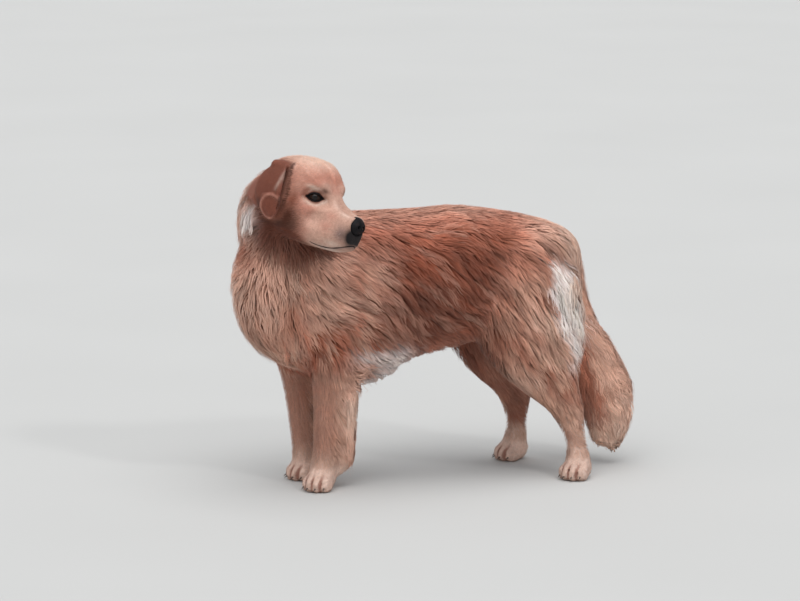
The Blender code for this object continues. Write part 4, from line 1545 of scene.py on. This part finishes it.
noseStyle = dict(
    middle=(0.0975, 0, -0.031),
    radii=(0.018, 0.0212, 0.0198),
    grain=0.0008,
    low=(0.073, -0.027, -0.056),
    size=(60, 68, 62),
    strokes=[
        ("add", 40, (1000, 110, -325), (140, 108, 130)),
        ("take", 18, (1158, 78, -300), (85, 38, 44)),
        ("take", 18, 15, (1115, 115, -325), (1005, 222, -335)),
        ("take", 16, 10, (1175, 0, -250), (1130, 0, -520)),
    ],
)


def noseLeather():
    low = np.array(noseStyle["low"])
    x, y, z = lattice(low, noseStyle["size"], noseStyle["grain"])
    half = (x, np.abs(y), z)
    values = egg(half, noseStyle["middle"], noseStyle["radii"])
    values = carved(values, half, noseStyle["strokes"])
    points, quads = surfaceOf(gridFrom(values, noseStyle["grain"], 0.01))
    points = fromHead(points + low)
    mesh = meshOf("noseLeather", points, facesOut(points, quads))
    mesh.materials.append(leatherPaint)
    return finished("noseLeather", mesh, "nose", "nose")


noseLeather()
skinTree = treeOf(skinCo, skinFaces)


def lips():
    # the mouth's line, cast onto the skin from both sides
    style = dict(steps=90, radius=0.0013, sunk=0.0002, unevenness=0.15, waves=23)
    line = np.vstack([mouthLine, (mouthLine[:-1] * (1, -1, 1))[::-1]])
    spans = np.linspace(0, len(line) - 1, style["steps"])
    line = soften(np.stack([np.interp(spans, np.arange(len(line)), v) for v in line.T], 1), 6, axes=(0,))
    path = []
    for p in line:
        outward = unit(p - (p[0] - 0.02, 0, p[2]))
        start = Vector(fromHead(p + outward * 0.04))
        where, normal, _, _ = skinTree.ray_cast(start, Vector(headAxes @ -outward))
        path.append(np.array(where) - np.array(normal) * style["sunk"])
    path = soften(np.array(path), 4, axes=(0,))
    reach = np.linspace(-1, 1, len(path))
    radii = style["radius"] * np.sqrt(np.clip(1.02 - np.abs(reach) ** 6, 0.03, 1))
    radii = radii * (1 + style["unevenness"] * np.sin(reach * style["waves"]))
    return tube("lips", path, radii, 8, False, leatherPaint, "nose")


lips()
print("face: eyes, lid rims, nose and lips")


# claws and whiskers, instanced along a curved spine by Geometry Nodes
def spikeTree(name, paint):
    # points with a "turn" and a "size" each grow one tapering curved spike
    tree = bpy.data.node_groups.new(name, "GeometryNodeTree")
    face = tree.interface
    face.new_socket("Geometry", in_out="INPUT", socket_type="NodeSocketGeometry")
    for label, value in (("Thickness", 0.2), ("Bend", 0.3)):
        face.new_socket(label, in_out="INPUT", socket_type="NodeSocketFloat").default_value = value
    face.new_socket("Geometry", in_out="OUTPUT", socket_type="NodeSocketGeometry")

    def add(kind, values=None, **settings):
        node = tree.nodes.new(kind)
        for key, value in settings.items():
            setattr(node, key, value)
        for key, value in (values or {}).items():
            if isinstance(value, bpy.types.NodeSocket):
                tree.links.new(value, node.inputs[key])
            else:
                node.inputs[key].default_value = value
        return node

    given = add("NodeGroupInput").outputs
    bendPoint = add("ShaderNodeCombineXYZ", {0: 0.55, 2: given["Bend"]}).outputs[0]
    ends = {"Resolution": 8, "Start": (0, 0, 0), "Middle": bendPoint, "End": (1, 0, 0)}
    spine = add("GeometryNodeCurveQuadraticBezier", ends)
    share = add("GeometryNodeSplineParameter").outputs["Factor"]
    taper = add("ShaderNodeMapRange", {0: share, 1: 0.0, 2: 1.0, 3: 1.0, 4: 0.06}).outputs[0]
    thick = add("ShaderNodeMath", {0: taper, 1: given["Thickness"]}, operation="MULTIPLY").outputs[0]
    sized = add("GeometryNodeSetCurveRadius", {"Curve": spine.outputs[0], "Radius": thick})
    ring = add("GeometryNodeCurvePrimitiveCircle", {"Resolution": 8, "Radius": 1.0})
    scaleInput = {"Curve": sized.outputs[0], "Profile Curve": ring.outputs[0], "Fill Caps": True}
    body = add("GeometryNodeCurveToMesh", scaleInput)
    if "Scale" in body.inputs:
        tree.links.new(thick, body.inputs["Scale"])
    turn = add("GeometryNodeInputNamedAttribute", {"Name": "turn"}, data_type="FLOAT_VECTOR").outputs[0]
    size = add("GeometryNodeInputNamedAttribute", {"Name": "size"}, data_type="FLOAT").outputs[0]
    toTurn = add("FunctionNodeEulerToRotation", {0: turn}).outputs[0]
    placeInput = {"Points": given["Geometry"], "Instance": body.outputs[0], "Rotation": toTurn, "Scale": size}
    spikes = add("GeometryNodeInstanceOnPoints", placeInput)
    real = add("GeometryNodeRealizeInstances", {"Geometry": spikes.outputs[0]})
    painted = add("GeometryNodeSetMaterial", {"Geometry": real.outputs[0], "Material": paint})
    add("NodeGroupOutput", {0: painted.outputs[0]})
    return tree


def spikes(name, rows, thickness, bend, paint, slot):
    # each row is a spike's start, the way it points, the way it bends, and its length
    starts, ways, ups, sizes = zip(*rows)
    mesh = bpy.data.meshes.new(name)
    mesh.from_pydata([tuple(p) for p in starts], [], [])
    turns = []
    for way, raised in zip(unit(np.array(ways)), np.array(ups)):
        across = unit(np.cross(raised, way))
        axes = np.stack([way, across, np.cross(way, across)], 1)
        turns.append(tuple(Matrix(axes.tolist()).to_euler()))
    addValues(mesh, "turn", turns)
    addValues(mesh, "size", sizes)
    seedObject = objectOf(name + ".points", mesh)
    modifier = seedObject.modifiers.new("spikes", "NODES")
    modifier.node_group = spikeTree(name, paint)
    given = {"Thickness": thickness, "Bend": bend}
    for socket in modifier.node_group.interface.items_tree:
        if socket.in_out == "INPUT" and socket.name in given:
            modifier[socket.identifier] = given[socket.name]
    made = evaluatedMesh(seedObject)
    seedObject.modifiers.clear()
    bpy.data.objects.remove(seedObject)
    made.name = name
    made.polygons.foreach_set("use_smooth", np.ones(len(made.polygons), bool))
    return finished(name, made, slot)


def claws():
    rows = []
    for place, ahead, aside in pawPlaces().values():
        for across, reach in pawStyle["toes"]:
            splay = across * pawStyle["clawSplay"]
            way = ahead + aside * splay + np.array([0, 0, pawStyle["clawDip"]])
            start = place + ahead * (reach + pawStyle["clawReach"]) + aside * across
            start = start + np.array([0, 0, pawStyle["clawHeight"]])
            rows.append((start, way, (0, 0, 1.0), pawStyle["clawLength"]))
    return spikes("claws", rows, pawStyle["clawThick"], pawStyle["clawBend"], clawPaint, "nose")


whiskerStyle = dict(
    seed=5, rows=3, columns=4, aside=0.036, loose=0.08, lengths=(0.022, 0.04), thick=0.0075, bend=0.14
)


def whiskers():
    # rows of whiskers on both sides of the muzzle, those further forward pointing further forward
    style = whiskerStyle
    rng = np.random.default_rng(style["seed"])
    raised = headAxes @ np.array([0.2, 0, 1.0])
    rows = []
    for side in (1, -1):
        for row in range(style["rows"]):
            for k in range(style["columns"]):
                h = (0.064 + 0.009 * k, side * style["aside"], -0.052 - 0.01 * row)
                where, normal, _, _ = skinTree.find_nearest(Vector(fromHead(h)))
                out = headAxes.T @ np.array(normal)
                way = out + np.array([-0.35 + 0.15 * k, 0, -0.25]) + rng.normal(0, style["loose"], 3)
                rows.append((np.array(where), headAxes @ way, raised, rng.uniform(*style["lengths"])))
    return spikes("whiskers", rows, style["thick"], style["bend"], whiskerPaint, "coat")


claws()
whiskers()
print("claws and whiskers")
for number, region in enumerate(regionNames):
    if region in ("flank", "hindleg"):
        coatPiece(region, 100 + number, "left")
        coatPiece(region, 200 + number, "right")
    else:
        coatPiece(region, 100 + number)

# the studio
floorCorners = np.array([[-40, -40, 0], [40, -40, 0], [40, 40, 0], [-40, 40, 0]], float)
floorMesh = meshOf("floor", floorCorners, np.array([[0, 1, 2, 3]]))
floorMesh.materials.append(floorFinish())
studioFloor = objectOf("floor", floorMesh)
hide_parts(*[n for n in everyNode if not n.startswith("eye_") and n != "nose"])
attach(skin, "root")

# at the dog, a metre fills 450 of the render's 800 columns
cameraStyle = dict(
    azimuth=17.0, elevation=10.0, distance=8.0, metre=450.0, width=800, sensor=36,
    aim=(-4 / 450, 176.5 / 450), stand=(0.0716, -0.0637, 0),
)
psi = math.radians(cameraStyle["azimuth"])
lift = math.radians(cameraStyle["elevation"])
toward = Vector((math.sin(psi), math.cos(psi), 0))
right = Vector((-math.cos(psi), math.sin(psi), 0))
back = toward * math.cos(lift) + Vector((0, 0, math.sin(lift)))
up = Vector((0, 0, math.cos(lift))) - toward * math.sin(lift)
aim = right * cameraStyle["aim"][0] + up * cameraStyle["aim"][1] + Vector(cameraStyle["stand"])
cameraData = bpy.data.cameras.new("camera")
cameraData.sensor_width = cameraStyle["sensor"]
scale = cameraStyle["metre"] * cameraStyle["distance"] / cameraStyle["width"]
cameraData.lens = scale * cameraStyle["sensor"]
camera = objectOf("camera", cameraData)
turned = Matrix((right, up, back)).transposed().to_4x4()
camera.matrix_world = Matrix.Translation(aim + back * cameraStyle["distance"]) @ turned
bpy.context.scene.camera = camera

lightStyle = [
    # name, where it stands, spread in degrees, strength
    ("key", (0.4, 1.1, 5.0), 60, 2.4),
    ("fill", (1.0, 4.0, 2.0), 90, 0.3),
    ("side", (5.0, 2.0, 2.5), 70, 0.35),
    ("catch", (-2.0, 4.0, 3.5), 6, 0.4),
]
for name, place, width, strength in lightStyle:
    lamp = bpy.data.lights.new(name, "SUN")
    lamp.angle = math.radians(width)
    lamp.energy = strength
    lampObject = objectOf(name, lamp)
    lampObject.location = place
    lampObject.rotation_euler = (-Vector(place)).to_track_quat("-Z", "Y").to_euler()
skyStyle = dict(Color=(0.93, 0.96, 1.0, 1), Strength=0.42)
world = bpy.data.worlds.new("studio")
world.use_nodes = True
for socket, value in skyStyle.items():
    world.node_tree.nodes["Background"].inputs[socket].default_value = value
bpy.context.scene.world = world
bpy.context.scene.view_settings.view_transform = "Standard"
